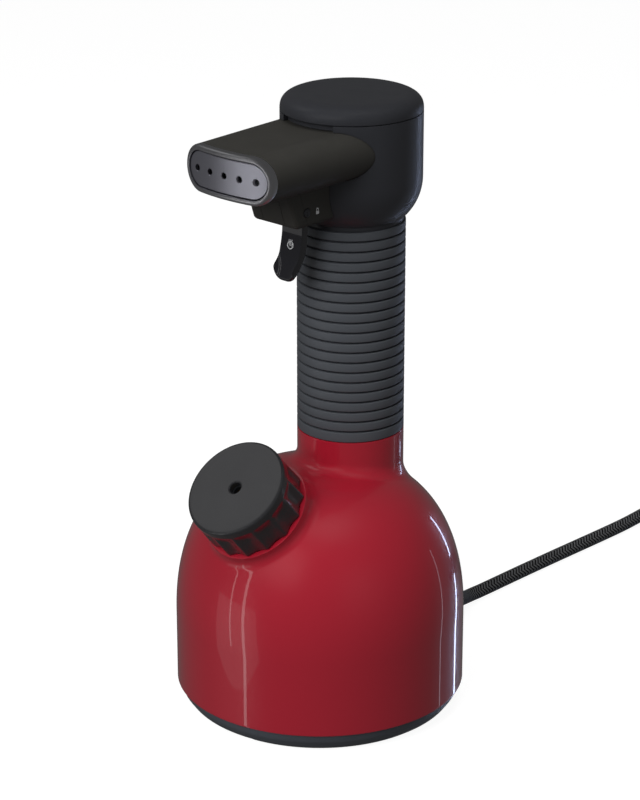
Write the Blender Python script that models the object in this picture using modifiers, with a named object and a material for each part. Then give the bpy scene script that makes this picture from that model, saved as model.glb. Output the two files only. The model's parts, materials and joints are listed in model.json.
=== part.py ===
"""Upright hand-held garment steamer: a round boiler body, a ribbed grip, and a nozzle head.

Metres, +Z up.  The steam nozzle points to -Y and the mains cord leaves at +Y.  The origin is on
the surface that the steamer stands on, at the middle of the steamer's own box, cord apart.
Places are given about a working centre, and one empty carries every piece from there to its place.
"""

import math

import bmesh
import bpy
from mathutils import Matrix, Vector

GAP = 0.0003            # clearance between touching pieces
NAME = "garment_steamer"
CARRIER_Y = 0.00575     # from the working centre to the middle of the steamer's box

# Body: a cylinder wall with a domed top and a neck that is offset to the rear
BODY_Y = -0.003
BODY_R = 0.070
BODY_WALL = 0.0025
BODY_BOTTOM = 0.0107
DOME_Z = 0.046          # where the wall turns into the dome
DOME_H = 0.073
DOME_POWERS = (2.9, 2.15)
NECK_FILLET = 0.005

# Grip and head share one axis
GRIP_Y = 0.0187
GRIP_R = 0.0257
GRIP_LOW = 0.1350
GRIP_HIGH = 0.2388
GROOVES = 20
GROOVE_FIRST = 0.1402
GROOVE_PITCH = 0.00495
GROOVE_DEPTH = 0.0007
GROOVE_HALF = 0.0005
CORE_R = 0.0229
CORE_WALL = 0.0025

HEAD_R = 0.03345
HEAD_WALL = 0.0022
HEAD_LOW = 0.2415
HEAD_TURN_Z = 0.2596    # where the head's wall starts to round in
HEAD_TURN_R = 0.0255
HEAD_TURN_DEG = 45.3
LID_LOW = 0.2915
LID_TOP = 0.2998

# Nozzle: a pill section that widens towards the head
NOZZLE_Z = 0.2770
NOZZLE_HALF_H = 0.0112
NOZZLE_HALF_W = 0.0269
NOZZLE_WIDEN = 0.0292   # metres of half width gained per metre of length
NOZZLE_FRONT = -0.0670
NOZZLE_REAR = 0.0090
NOZZLE_WALL = 0.0020
FACE_R = 0.090          # the front face's radius in plan
PLATE_HOLES = 5
PLATE_PITCH = 0.0092
PLATE_HOLE_R = 0.0014

# Trigger, its housing and the valve that it opens
PIVOT = Vector((0.0, -0.022, 0.2590))
PIVOT_PIN_R = 0.0012
TRIGGER_W = 0.0124
ARM = 0.008             # pivot to the point that lifts the valve stem
ARM_R = 0.0015
HOUSING_HALF_W = 0.014
HOUSING_LOW = 0.2468
HOUSING_HIGH = 0.2655
LOCK = Vector((0.0, -0.027, 0.2539))
LOCK_R = 0.0020
VALVE_Y = PIVOT.y + ARM
VALVE_LOW = 0.2690
VALVE_HIGH = 0.2845
STEAM_LINE_Z = 0.2795
STEAM_TUBE_R = 0.0030

# Filler cap: heights along its axis are measured from the plane of its skirt
CAP_TILT = math.radians(41.5)
CAP_SEAT = Vector((0.0, -0.04785, 0.1108))
CAP_R = 0.0257
CAP_H = 0.0203
FLUTES = 15
FLUTE_R = 0.0040
FLUTE_DEPTH = 0.0012
FILLER_R = 0.0130
FILLER_BORE = 0.0108
BOSS_R = 0.0263

# Boiler and base
BOILER_R = 0.044
BOILER_LOW = 0.026
BOILER_TURN = 0.070
BOILER_TOP = 0.090
BOILER_WALL = 0.0012
SCREW_RING = 0.0515
SCREW_BEARINGS = (0.0, 120.0, 240.0)
SCREW_R = 0.0015
NOTCH_BEARINGS = (0.0, 114.0, 246.0)
NOTCH_HALF_DEG = 12.5
FEET = {"foot_pad_right": (16.0, 98.0), "foot_pad_left": (262.0, 344.0), "foot_pad_rear": (130.0, 230.0)}

# Mains cord
CORD_R = 0.0035
CORD_EXIT = Vector((0.0, 0.067, 0.021))
BOOT_TIP = Vector((0.0, 0.0985, 0.0143))
CORD_ROUTE = [
    (0.0000, 0.0992, 0.0140), (-0.0005, 0.1030, 0.0123), (-0.0032, 0.1090, 0.0097),
    (-0.0061, 0.1145, 0.0075), (-0.0084, 0.1200, 0.0057), (-0.0099, 0.1260, 0.0045),
    (-0.0105, 0.1330, 0.0038), (-0.0105, 0.1450, 0.0036), (-0.0102, 0.1650, 0.0036),
    (-0.0096, 0.1900, 0.0036), (-0.0088, 0.2150, 0.0036), (-0.0080, 0.2400, 0.0036),
    (-0.0073, 0.2660, 0.0036), (-0.0073, 0.2800, 0.0037), (-0.0075, 0.2900, 0.0038),
]
COIL_CENTRE = Vector((0.036, 0.322, 0.0))
COIL_LOW = 0.0012
COIL_IN = 0.0280
COIL_OUT = 0.0490
COIL_HIGH = 0.0153
TAIL_ROUTE = [
    (0.0538, 0.3718, 0.0117), (0.0648, 0.3675, 0.0106), (0.0752, 0.3612, 0.0082),
    (0.0842, 0.3530, 0.0060), (0.0912, 0.3435, 0.0064), (0.0955, 0.3330, 0.0086),
    (0.0976, 0.3240, 0.0103), (0.0980, 0.3145, 0.0108),
]
PLUG_AT = Vector((0.098, 0.3135, 0.0108))


def clear_scene():
    for obj in list(bpy.data.objects):
        bpy.data.objects.remove(obj, do_unlink=True)


def collection(name):
    made = bpy.data.collections.new(name)
    bpy.context.scene.collection.children.link(made)
    return made


def material(name, colour, roughness, metallic=0.0):
    made = bpy.data.materials.new(name)
    made.use_nodes = True
    shader = made.node_tree.nodes["Principled BSDF"]
    shader.inputs["Base Color"].default_value = (*colour, 1.0)
    shader.inputs["Roughness"].default_value = roughness
    shader.inputs["Metallic"].default_value = metallic
    return made


def add(name, data, mat=None):
    """Links an object: with a material it is a part, without one it is a cutter."""
    obj = bpy.data.objects.new(name, data)
    obj.parent = CARRIER
    if mat is None:
        CUTTERS.objects.link(obj)
        obj.hide_render = True
        obj.display_type = "WIRE"
    else:
        PARTS.objects.link(obj)
        obj.data.materials.append(mat)
    return obj


def finish(obj, angle=35.0):
    obj.data.shade_smooth()
    obj.data.set_sharp_from_angle(angle=math.radians(angle))
    return obj


def mesh_object(name, bm, mat=None):
    mesh = bpy.data.meshes.new(name)
    bm.to_mesh(mesh)
    bm.free()
    return finish(add(name, mesh, mat))


def turned(name, profile, mat=None, steps=48, ring=True, at=(0, 0, 0), tilt=0.0):
    """A turned shape.  The (radius, height) points run down the outer side."""
    mesh = bpy.data.meshes.new(name)
    edges = [(i, i + 1) for i in range(len(profile) - 1)]
    if ring:
        edges.append((len(profile) - 1, 0))
    mesh.from_pydata([(r, 0.0, z) for r, z in profile], edges, [])
    obj = add(name, mesh, mat)
    screw = obj.modifiers.new("Turn", "SCREW")
    screw.steps = steps
    screw.render_steps = steps
    screw.use_merge_vertices = True
    screw.merge_threshold = 0.00001
    obj.location = at
    obj.rotation_euler = (tilt, 0.0, 0.0)
    return obj


def rod(name, start, end, radius, mat=None, segments=24, end_radius=None):
    """A round bar, or a taper, from one point to another."""
    start, end = Vector(start), Vector(end)
    bm = bmesh.new()
    far = radius if end_radius is None else end_radius
    bmesh.ops.create_cone(bm, cap_ends=True, segments=segments, radius1=radius, radius2=far,
                          depth=(end - start).length)
    obj = mesh_object(name, bm, mat)
    obj.rotation_mode = "QUATERNION"
    obj.rotation_quaternion = (end - start).to_track_quat("Z", "Y")
    obj.location = (start + end) / 2
    return obj


def block(name, low, high, mat=None, bevel=0.0):
    low, high = Vector(low), Vector(high)
    bm = bmesh.new()
    bmesh.ops.create_cube(bm, size=1.0)
    bmesh.ops.scale(bm, vec=high - low, verts=bm.verts)
    obj = mesh_object(name, bm, mat)
    obj.location = (low + high) / 2
    if bevel:
        soften(obj, bevel)
    return obj


def soften(obj, width, segments=2, angle=40.0):
    bevel = obj.modifiers.new("Edges", "BEVEL")
    bevel.width = width
    bevel.segments = segments
    bevel.limit_method = "ANGLE"
    bevel.angle_limit = math.radians(angle)
    return obj


def shell(obj, thickness, offset=-1.0):
    wall = obj.modifiers.new("Wall", "SOLIDIFY")
    wall.thickness = thickness
    wall.offset = offset
    wall.use_even_offset = True
    return obj


def cut(obj, tool, operation="DIFFERENCE"):
    change = obj.modifiers.new(tool.name, "BOOLEAN")
    change.operation = operation
    change.solver = "EXACT"
    change.object = tool
    return obj


def loft(name, rings, mat=None, loop=False, caps=True):
    """Skins rings of equal length; loop joins the last ring to the first."""
    bm = bmesh.new()
    made = [[bm.verts.new(point) for point in ring] for ring in rings]
    count = len(rings[0])
    pairs = list(zip(made, made[1:]))
    if loop:
        pairs.append((made[-1], made[0]))
    for a, b in pairs:
        for i in range(count):
            j = (i + 1) % count
            bm.faces.new((b[i], b[j], a[j], a[i]))
    if caps and not loop:
        bm.faces.new(made[0])
        bm.faces.new(list(reversed(made[-1])))
    if caps or loop:
        bmesh.ops.recalc_face_normals(bm, faces=bm.faces)
    return mesh_object(name, bm, mat)


def outline_solid(name, points, half_width, mat=None):
    """A flat (y, z) outline, extruded along X about the plane x = 0, as a mesh."""
    curve = bpy.data.curves.new(name, "CURVE")
    curve.dimensions = "2D"
    curve.fill_mode = "BOTH"
    curve.extrude = half_width
    spline = curve.splines.new("POLY")
    spline.points.add(len(points) - 1)
    spline.use_cyclic_u = True
    for point, (y, z) in zip(spline.points, points):
        point.co = (y, z, 0.0, 1.0)
    turn = Matrix(((0, 0, 1, 0), (1, 0, 0, 0), (0, 1, 0, 0), (0, 0, 0, 1)))
    return curve_to_mesh(name, curve, turn, mat)


def curve_to_mesh(name, curve, placing, mat):
    """Replaces a curve by the closed mesh that it evaluates to."""
    guide = bpy.data.objects.new(name, curve)
    bpy.context.scene.collection.objects.link(guide)
    graph = bpy.context.evaluated_depsgraph_get()
    mesh = bpy.data.meshes.new_from_object(guide.evaluated_get(graph))
    bm = bmesh.new()
    bm.from_mesh(mesh)
    bm.transform(placing)
    bmesh.ops.remove_doubles(bm, verts=bm.verts, dist=0.00001)
    bmesh.ops.recalc_face_normals(bm, faces=bm.faces)
    bm.to_mesh(mesh)
    bm.free()
    bpy.data.objects.remove(guide)
    mesh.name = name
    return finish(add(name, mesh, mat))


def tube(name, points, radius, mat, resolution=2):
    """A round tube with closed ends along a list of points."""
    curve = bpy.data.curves.new(name, "CURVE")
    curve.dimensions = "3D"
    curve.bevel_depth = radius
    curve.bevel_resolution = resolution
    curve.use_fill_caps = True
    spline = curve.splines.new("POLY")
    spline.points.add(len(points) - 1)
    for point, place in zip(spline.points, points):
        point.co = (*place, 1.0)
    return add(name, curve, mat)


def smooth_route(points, per_span=2):
    """Points on a smooth curve through a route's own points."""
    route = [Vector(p) for p in points]
    ends = [2 * route[0] - route[1]] + route + [2 * route[-1] - route[-2]]
    made = []
    for i in range(1, len(ends) - 2):
        a, b, c, d = ends[i - 1:i + 3]
        for k in range(per_span):
            t = k / per_span
            made.append(0.5 * (2 * b + (c - a) * t + (2 * a - 5 * b + 4 * c - d) * t * t
                               + (3 * b - a - 3 * c + d) * t ** 3))
    made.append(route[-1])
    return made


def arc(centre, radius, start, end, count):
    """Points on an arc in a plane, angles in degrees."""
    made = []
    for i in range(count + 1):
        angle = math.radians(start + (end - start) * i / count)
        made.append((centre[0] + radius * math.cos(angle), centre[1] + radius * math.sin(angle)))
    return made


def bearing(degrees, radius, z):
    """A point about the body's axis; bearing 0 is the front, 90 is +X."""
    angle = math.radians(degrees)
    return Vector((radius * math.sin(angle), BODY_Y - radius * math.cos(angle), z))


def on_cap_axis(height):
    return CAP_SEAT + height * Vector((0.0, -math.sin(CAP_TILT), math.cos(CAP_TILT)))


# ---------------------------------------------------------------- body and base

def dome_height(x, y):
    reach = min(1.0, math.hypot(x, y - BODY_Y) / BODY_R)
    outer, inner = DOME_POWERS
    return DOME_Z + DOME_H * (1.0 - reach ** outer) ** (1.0 / inner)


def body_rings(count=40, fillet_steps=2, dome_steps=8):
    """Rings from the neck's top edge, over the fillet and the dome, down to the bottom edge."""
    directions = [Vector((math.cos(2 * math.pi * i / count), math.sin(2 * math.pi * i / count)))
                  for i in range(count)]
    neck = Vector((0.0, GRIP_Y))
    body = Vector((0.0, BODY_Y))
    rings = [[(*(neck + d * GRIP_R), GRIP_LOW - GAP) for d in directions]]
    for step in range(fillet_steps + 1):
        u = 1.0 - math.cos(0.5 * math.pi * step / fillet_steps)
        ring = []
        for d in directions:
            p = neck + d * (GRIP_R + u * NECK_FILLET)
            lift = NECK_FILLET * (1.0 - math.sqrt(1.0 - (1.0 - u) ** 2))
            ring.append((p.x, p.y, dome_height(p.x, p.y) + lift))
        rings.append(ring)
    for step in range(1, dome_steps + 1):
        s = math.sin(0.5 * math.pi * step / dome_steps)
        ring = []
        for d in directions:
            p = (neck + d * (GRIP_R + NECK_FILLET)).lerp(body + d * BODY_R, s)
            ring.append((p.x, p.y, dome_height(p.x, p.y)))
        rings.append(ring)
    rings.append([(*(body + d * BODY_R), BODY_BOTTOM + 0.0008) for d in directions])
    rings.append([(*(body + d * (BODY_R - 0.0006)), BODY_BOTTOM) for d in directions])
    return rings


def body_shell(mat):
    body = shell(loft("body_shell", body_rings(), mat, caps=False), BODY_WALL)
    cut(body, rod("boss_solid", on_cap_axis(-0.0105), on_cap_axis(-GAP), BOSS_R, segments=32), "UNION")
    cut(body, rod("boss_hollow", on_cap_axis(-0.022), on_cap_axis(-0.0033), BOSS_R - 0.0024, segments=32))
    cut(body, rod("filler_hole", on_cap_axis(-0.006), on_cap_axis(0.002), FILLER_R + 0.001))
    for index, degrees in enumerate(SCREW_BEARINGS):
        column = rod(f"column_{index}", bearing(degrees, SCREW_RING, 0.017),
                     bearing(degrees, SCREW_RING, 0.033), 0.0038)
        cut(body, column, "UNION")
        rib = block(f"rib_{index}", (-0.00125, -0.0684, 0.0175), (0.00125, -0.0520, 0.0325))
        turn = Matrix.Rotation(math.radians(degrees), 4, "Z")
        rib.matrix_basis = Matrix.Translation((0, BODY_Y, 0)) @ turn @ rib.matrix_basis
        cut(body, rib, "UNION")
        cut(body, rod(f"pilot_{index}", bearing(degrees, SCREW_RING, 0.016),
                      bearing(degrees, SCREW_RING, 0.031), SCREW_R + GAP))
    cut(body, rod("cord_hole", (0, 0.060, CORD_EXIT.z), (0, 0.072, CORD_EXIT.z), 0.0063))
    return body


def base_cover(mat):
    profile = [(0.0, 0.0055), (0.0620, 0.0055), (0.0644, 0.0085), (0.0644, 0.0160), (0.0669, 0.0160),
               (0.0669, 0.0104), (0.0690, 0.0104), (0.0676, 0.0062),
               (0.0649, 0.0024), (0.0619, 0.0003), (0.0550, 0.0003), (0.0550, 0.0030), (0.0, 0.0030)]
    cover = turned("base_cover", profile, mat, steps=40, ring=False, at=(0, BODY_Y, 0))
    groove = turned("pad_groove", [(0.0560, 0.0018), (0.0606, 0.0018), (0.0606, -0.002), (0.0560, -0.002)],
                    steps=40, at=(0, BODY_Y, 0))
    cut(cover, groove)
    cut(cover, block("strain_relief_gate", (-0.0095, 0.055, 0.0108), (0.0095, 0.068, 0.018)))
    half = 0.062 * math.sin(math.radians(NOTCH_HALF_DEG))
    for index, degrees in enumerate(NOTCH_BEARINGS):
        notch = block(f"notch_{index}", (-half, -0.080, -0.002), (half, -0.0535, 0.0018))
        turn = Matrix.Rotation(math.radians(degrees), 4, "Z")
        notch.matrix_basis = Matrix.Translation((0, BODY_Y, 0)) @ turn @ notch.matrix_basis
        cut(cover, notch)
    for index, degrees in enumerate(SCREW_BEARINGS):
        cut(cover, rod(f"post_{index}", bearing(degrees, SCREW_RING, 0.0045),
                       bearing(degrees, SCREW_RING, 0.0167), 0.0036), "UNION")
        cut(cover, rod(f"screw_hole_{index}", bearing(degrees, SCREW_RING, 0.0),
                       bearing(degrees, SCREW_RING, 0.018), SCREW_R + GAP))
    return cover


def foot_pads(mat):
    section = [(0.0563, 0.0), (0.0603, 0.0), (0.0603, 0.0015), (0.0563, 0.0015)]
    for name, (start, end) in FEET.items():
        rings = []
        for i in range(11):
            degrees = start + (end - start) * i / 10
            rings.append([bearing(degrees, r, z) for r, z in section])
        loft(name, rings, mat)


def base_screws(mat):
    profile = [(0.0, 0.0300), (SCREW_R, 0.0290), (SCREW_R, 0.0027), (0.0030, 0.0027),
               (0.0026, 0.0012), (0.0, 0.0012)]
    for index, degrees in enumerate(SCREW_BEARINGS):
        turned(f"base_screw_{index + 1}", profile, mat, steps=20, ring=False,
               at=bearing(degrees, SCREW_RING, 0.0))


# ---------------------------------------------------------------- boiler

def boiler_height(reach):
    rise = max(0.0, 1.0 - (reach / BOILER_R) ** 2.4) ** (1 / 2.2)
    return BOILER_TURN + (BOILER_TOP - BOILER_TURN) * rise


def boiler_parts(steel, brass, black, ceramic):
    dome = [(BOILER_R * i / 6, boiler_height(BOILER_R * i / 6)) for i in range(7)]
    wall = [(BOILER_R, BOILER_LOW + 0.003), (BOILER_R - 0.003, BOILER_LOW), (0.0, BOILER_LOW)]
    tank = turned("boiler_tank", dome + wall, steel, steps=24, ring=False, at=(0, BODY_Y, 0))
    shell(tank, BOILER_WALL)
    cut(tank, rod("tank_filler_hole", on_cap_axis(-0.042), on_cap_axis(-0.012), FILLER_R + GAP))
    cut(tank, rod("tank_outlet_hole", (0, GRIP_Y, 0.080), (0, GRIP_Y, 0.095), 0.0055 + GAP))

    union = [(0.0034, 0.0985), (0.0055, 0.0985), (0.0055, 0.0960), (0.0082, 0.0960), (0.0082, 0.0912),
             (0.0055, 0.0912), (0.0055, 0.0810), (0.0034, 0.0810)]
    turned("steam_outlet_union", union, brass, steps=16, at=(0, GRIP_Y, 0))

    neck = [(FILLER_BORE, 0.0020), (FILLER_R, 0.0020), (FILLER_R, 0.0018), (0.0170, 0.0018),
            (0.0170, 0.0), (FILLER_R, 0.0), (FILLER_R, -0.0360), (FILLER_BORE, -0.0360)]
    turned("filler_neck", neck, brass, steps=24, at=CAP_SEAT, tilt=CAP_TILT)

    cradle = [(0.0405, 0.0257), (0.0430, 0.0257), (0.0430, 0.0078), (0.0460, 0.0078), (0.0460, 0.0058),
              (0.0405, 0.0058)]
    ring = turned("boiler_cradle", cradle, black, steps=28, at=(0, BODY_Y, 0))
    cut(ring, block("cradle_gate", (-0.0115, 0.030, 0.0095), (0.0115, 0.050, 0.0200)))

    heater = [Vector((0.0085, BODY_Y + 0.0300, 0.0125)), Vector((0.0085, BODY_Y + 0.0300, 0.0185))]
    for degrees in range(72, -253, -18):
        angle = math.radians(degrees)
        heater.append(Vector((0.030 * math.cos(angle), BODY_Y + 0.030 * math.sin(angle), 0.0224)))
    heater += [Vector((-0.0085, BODY_Y + 0.0300, 0.0185)), Vector((-0.0085, BODY_Y + 0.0300, 0.0125))]
    tube("heating_element", heater, 0.0030, steel)

    disc = turned("thermostat", [(0.0, 0.0256), (0.0088, 0.0256), (0.0088, 0.0200), (0.0060, 0.0200),
                                 (0.0060, 0.0160), (0.0, 0.0160)], ceramic, steps=24, ring=False,
                  at=(0, BODY_Y, 0))
    for side in (-1, 1):
        cut(disc, block(f"thermostat_tab_{side}", (side * 0.004 - 0.0014, BODY_Y - 0.0005, 0.0100),
                        (side * 0.004 + 0.0014, BODY_Y + 0.0005, 0.0170)), "UNION")
    rod("thermal_fuse", (-0.007, BODY_Y - 0.0170, 0.0224), (0.007, BODY_Y - 0.0170, 0.0224), 0.0028,
        ceramic, segments=16)

    rise = [(0, GRIP_Y, 0.0900), (0, GRIP_Y, 0.1500), (0, GRIP_Y, 0.2100), (0, GRIP_Y, 0.2640)]
    bend = [(0.0, GRIP_Y - 0.0155 + 0.0155 * math.cos(a), 0.2640 + 0.0155 * math.sin(a))
            for a in (math.radians(d) for d in range(15, 91, 15))]
    end = [(0.0, VALVE_Y + 0.0103, STEAM_LINE_Z)]
    tube("steam_tube", rise + bend + end, STEAM_TUBE_R, ceramic)


def wiring(black, copper_wires):
    terminal = block("terminal_block", (-0.013, 0.0455, 0.0058), (0.013, 0.0545, 0.0150), black, 0.0005)
    for x in (-0.008, 0.0, 0.008):
        cut(terminal, rod(f"terminal_{x}", (x, 0.050, 0.0110), (x, 0.050, 0.0160), 0.0022, segments=16))
    block("cord_clamp", (-0.0095, 0.0535, 0.0155), (0.0095, 0.0585, 0.0172), black, 0.0003)
    leads = {
        "lead_wire_live": [(0.0085, 0.0452, 0.0110), (0.0085, 0.0400, 0.0108), (0.0085, 0.0330, 0.0108),
                           (0.0085, BODY_Y + 0.0300, 0.0110)],
        "lead_wire_neutral": [(-0.0085, 0.0452, 0.0110), (-0.0085, 0.0400, 0.0108),
                              (-0.0085, 0.0330, 0.0108), (-0.0085, BODY_Y + 0.0300, 0.0110)],
    }
    for name, route in leads.items():
        tube(name, route, 0.0010, copper_wires[name], resolution=2)


# ---------------------------------------------------------------- filler cap

def cap_parts(gloss, black, rubber, brass):
    outer = [(0.0030, CAP_H - 0.0004), (0.0034, CAP_H)]
    crown = [(0.0217, CAP_H), (0.0236, 0.0196), (0.0247, 0.0176), (0.0251, 0.0150)]
    skirt = [(CAP_R, 0.0012), (CAP_R - 0.0005, 0.0), (0.0234, 0.0)]
    inside = [(0.0230, 0.0172), (0.0030, 0.0172)]
    cap = turned("cap_knob", outer + crown + skirt + inside, gloss, steps=48, at=CAP_SEAT, tilt=CAP_TILT)
    bm = bmesh.new()
    for i in range(FLUTES):
        angle = 2 * math.pi * (i + 0.875) / FLUTES
        reach = CAP_R + FLUTE_R - FLUTE_DEPTH
        place = Matrix.Translation((reach * math.cos(angle), reach * math.sin(angle), 0.0066))
        bmesh.ops.create_cone(bm, cap_ends=True, segments=12, radius1=FLUTE_R, radius2=FLUTE_R,
                              depth=0.0172, matrix=place)
    flutes = mesh_object("cap_flutes", bm)
    flutes.location = CAP_SEAT
    flutes.rotation_euler = (CAP_TILT, 0.0, 0.0)
    cut(cap, flutes)

    plug = [(0.0025, 0.0169), (0.0090, 0.0169), (0.0090, 0.0072), (0.0140, 0.0072), (0.0140, 0.0046),
            (0.0104, 0.0046), (0.0104, -0.0080), (0.0044, -0.0080), (0.0044, 0.0130), (0.0025, 0.0130)]
    turned("cap_threaded_plug", plug, black, steps=24, at=CAP_SEAT, tilt=CAP_TILT)
    seal = [(0.0107, 0.0043), (0.0134, 0.0043), (0.0134, 0.0023), (0.0107, 0.0023)]
    turned("cap_seal", seal, rubber, steps=24, at=CAP_SEAT, tilt=CAP_TILT)
    relief = [(0.0, 0.0160), (0.0021, 0.0160), (0.0021, 0.0126), (0.0040, 0.0126), (0.0040, -0.0075),
              (0.0, -0.0075)]
    turned("pressure_relief_valve", relief, brass, steps=16, ring=False, at=CAP_SEAT, tilt=CAP_TILT)


# ---------------------------------------------------------------- grip

def grip_parts(black, grip):
    core = [(CORE_R - CORE_WALL, 0.2520), (CORE_R, 0.2520), (CORE_R, 0.2412), (0.0249, 0.2412),
            (0.0249, GRIP_HIGH + GAP), (CORE_R, GRIP_HIGH + GAP), (CORE_R, 0.1210),
            (CORE_R - CORE_WALL, 0.1210)]
    turned("grip_core", core, black, steps=28, at=(0, GRIP_Y, 0))
    bore = CORE_R + GAP
    sleeve = [(bore, GRIP_HIGH), (GRIP_R - 0.0005, GRIP_HIGH), (GRIP_R, GRIP_HIGH - 0.0005)]
    for i in reversed(range(GROOVES)):
        z = GROOVE_FIRST + i * GROOVE_PITCH
        sleeve += [(GRIP_R, z + GROOVE_HALF), (GRIP_R - GROOVE_DEPTH, z), (GRIP_R, z - GROOVE_HALF)]
    sleeve += [(GRIP_R, GRIP_LOW + 0.0004), (GRIP_R - 0.0004, GRIP_LOW), (bore, GRIP_LOW)]
    turned("grip_sleeve", sleeve, grip, steps=20, at=(0, GRIP_Y, 0))


# ---------------------------------------------------------------- head and nozzle

def head_outer(extra=0.0):
    """The head's outer side from its top edge down, moved out by a clearance."""
    turn = arc((HEAD_R - HEAD_TURN_R, HEAD_TURN_Z), HEAD_TURN_R + extra, 0.0, -HEAD_TURN_DEG, 5)
    return [(HEAD_R + extra, LID_LOW - GAP)] + turn


def pill(half_width, half_height, y, count=8, bow=True):
    """A pill outline about the nozzle's axis; bow follows the front face's curve."""
    straight = half_width - half_height
    points = arc((straight, 0.0), half_height, -90.0, 90.0, count)
    points += [(straight * k / 2, half_height) for k in (1, 0, -1)]
    points += arc((-straight, 0.0), half_height, 90.0, 270.0, count)
    points += [(straight * k / 2, -half_height) for k in (-1, 0, 1)]
    return [(x, y + (x * x / (2 * FACE_R) if bow else 0.0), NOZZLE_Z + z) for x, z in points]


def nozzle_half_width(y):
    return NOZZLE_HALF_W + NOZZLE_WIDEN * (y - NOZZLE_FRONT)


def nozzle_rings(start, extra=0.0, rear=NOZZLE_REAR):
    rings = [pill(nozzle_half_width(start) + extra, NOZZLE_HALF_H + extra, start)]
    for y in (-0.045, -0.020, rear):
        rings.append(pill(nozzle_half_width(y) + extra, NOZZLE_HALF_H + extra, y, bow=False))
    return rings


def head_parts(satin, matte):
    inner_r = HEAD_R - HEAD_WALL
    inner = arc((HEAD_R - HEAD_TURN_R, HEAD_TURN_Z), HEAD_TURN_R - HEAD_WALL, -HEAD_TURN_DEG, 0.0, 5)
    low = [(CORE_R + GAP, HEAD_LOW), (CORE_R + GAP, 0.2434)]
    profile = head_outer() + low + inner + [(inner_r, LID_LOW - GAP)]
    head = turned("head_shell", profile, satin, steps=32, at=(0, GRIP_Y, 0))
    cut(head, loft("nozzle_opening", nozzle_rings(-0.045, GAP, NOZZLE_REAR + 0.0006)[1:]))
    cut(head, block("lid_notch", (-0.0154, -0.030, 0.2800), (0.0154, 0.004, 0.2930)))
    cut(head, block("trigger_window", (-0.0078, -0.030, 0.2480), (0.0078, 0.004, 0.2680)))

    corner = [(0.0224 + 0.01105 * math.cos(a) ** 0.75, LID_LOW + 0.0079 * math.sin(a) ** 0.75)
              for a in (math.radians(d) for d in range(90, -1, -18))]
    lid = [(0.0, LID_TOP), (0.0120, LID_TOP - 0.0001)] + corner
    lid += [(0.0309, LID_LOW), (0.0309, 0.2886), (0.0290, 0.2886), (0.0290, 0.2945), (0.0200, 0.2972),
            (0.0, 0.2975)]
    turned("head_lid", lid, satin, steps=32, ring=False, at=(0, GRIP_Y, 0))

    start = NOZZLE_FRONT + 0.0035
    nozzle = loft("nozzle_shell", nozzle_rings(start), matte, caps=False)
    shell(nozzle, NOZZLE_WALL)
    cut(nozzle, rod("nozzle_stem_hole", (0, VALVE_Y, 0.2630), (0, VALVE_Y, 0.2700), 0.0040))


def nozzle_front_parts(bezel_mat, plate_mat, chamber_mat):
    half_w = nozzle_half_width(NOZZLE_FRONT + 0.0032)
    inner_w, inner_h = 0.0242, 0.0085
    rings = [
        pill(half_w, NOZZLE_HALF_H, NOZZLE_FRONT + 0.0032),
        pill(half_w, NOZZLE_HALF_H, NOZZLE_FRONT + 0.0014),
        pill(half_w - 0.0005, NOZZLE_HALF_H - 0.0005, NOZZLE_FRONT + 0.0005),
        pill(half_w - 0.0014, NOZZLE_HALF_H - 0.0014, NOZZLE_FRONT),
        pill(inner_w, inner_h, NOZZLE_FRONT + 0.0002),
        pill(inner_w, inner_h, NOZZLE_FRONT + 0.0032),
    ]
    loft("nozzle_bezel", rings, bezel_mat, loop=True)

    plate_w, plate_h = inner_w - 0.0004, inner_h - 0.0004
    front = NOZZLE_FRONT + 0.0008
    rings = [pill(plate_w, plate_h, front + 0.0015), pill(plate_w, plate_h, front)]
    plate = loft("steam_plate", rings, plate_mat)
    first = -(PLATE_HOLES - 1) / 2
    for i in range(PLATE_HOLES):
        x = (first + i) * PLATE_PITCH
        cut(plate, rod(f"steam_hole_{i}", (x, -0.070, NOZZLE_Z), (x, -0.058, NOZZLE_Z), PLATE_HOLE_R,
                       segments=16))

    chamber = loft("steam_chamber", [pill(0.0230, 0.0078, y, bow=False) for y in (-0.0614, -0.0530)],
                   chamber_mat)
    cut(chamber, loft("chamber_hollow", [pill(0.0215, 0.0063, y, bow=False) for y in (-0.0620, -0.0545)]))
    cut(chamber, rod("chamber_inlet", (0, -0.0560, STEAM_LINE_Z), (0, -0.0520, STEAM_LINE_Z), 0.0023))
    tube("nozzle_pipe", [(0, VALVE_Y - 0.0103, STEAM_LINE_Z), (0, -0.038, STEAM_LINE_Z),
                         (0, -0.0527, STEAM_LINE_Z)], STEAM_TUBE_R, chamber_mat)


# ---------------------------------------------------------------- trigger, lock and valve

def trigger_outline():
    """The trigger's side outline, as (y, z) from the pivot."""
    front = [(-0.0034, -0.0020), (-0.0016, -0.0080), (-0.0002, -0.0130), (0.0, -0.0170),
             (-0.0004, -0.0210), (-0.0012, -0.0250), (-0.0024, -0.0300), (-0.0039, -0.0342),
             (-0.0056, -0.0376), (-0.0061, -0.0391), (-0.0055, -0.0403), (-0.0042, -0.0406)]
    back = [(-0.0029, -0.0398), (-0.0010, -0.0374), (0.0006, -0.0338), (0.0019, -0.0300),
            (0.0030, -0.0250), (0.0037, -0.0200), (0.0040, -0.0150), (0.0040, -0.0060),
            (0.0046, -0.0030), (0.0060, -0.0015)]
    arm = arc((ARM, 0.0), ARM_R, -90.0, 90.0, 6) + [(0.0050, 0.0015)]
    boss = arc((0.0, 0.0), 0.0038, 30.0, 180.0, 8)
    return front + back + arm + boss


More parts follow.
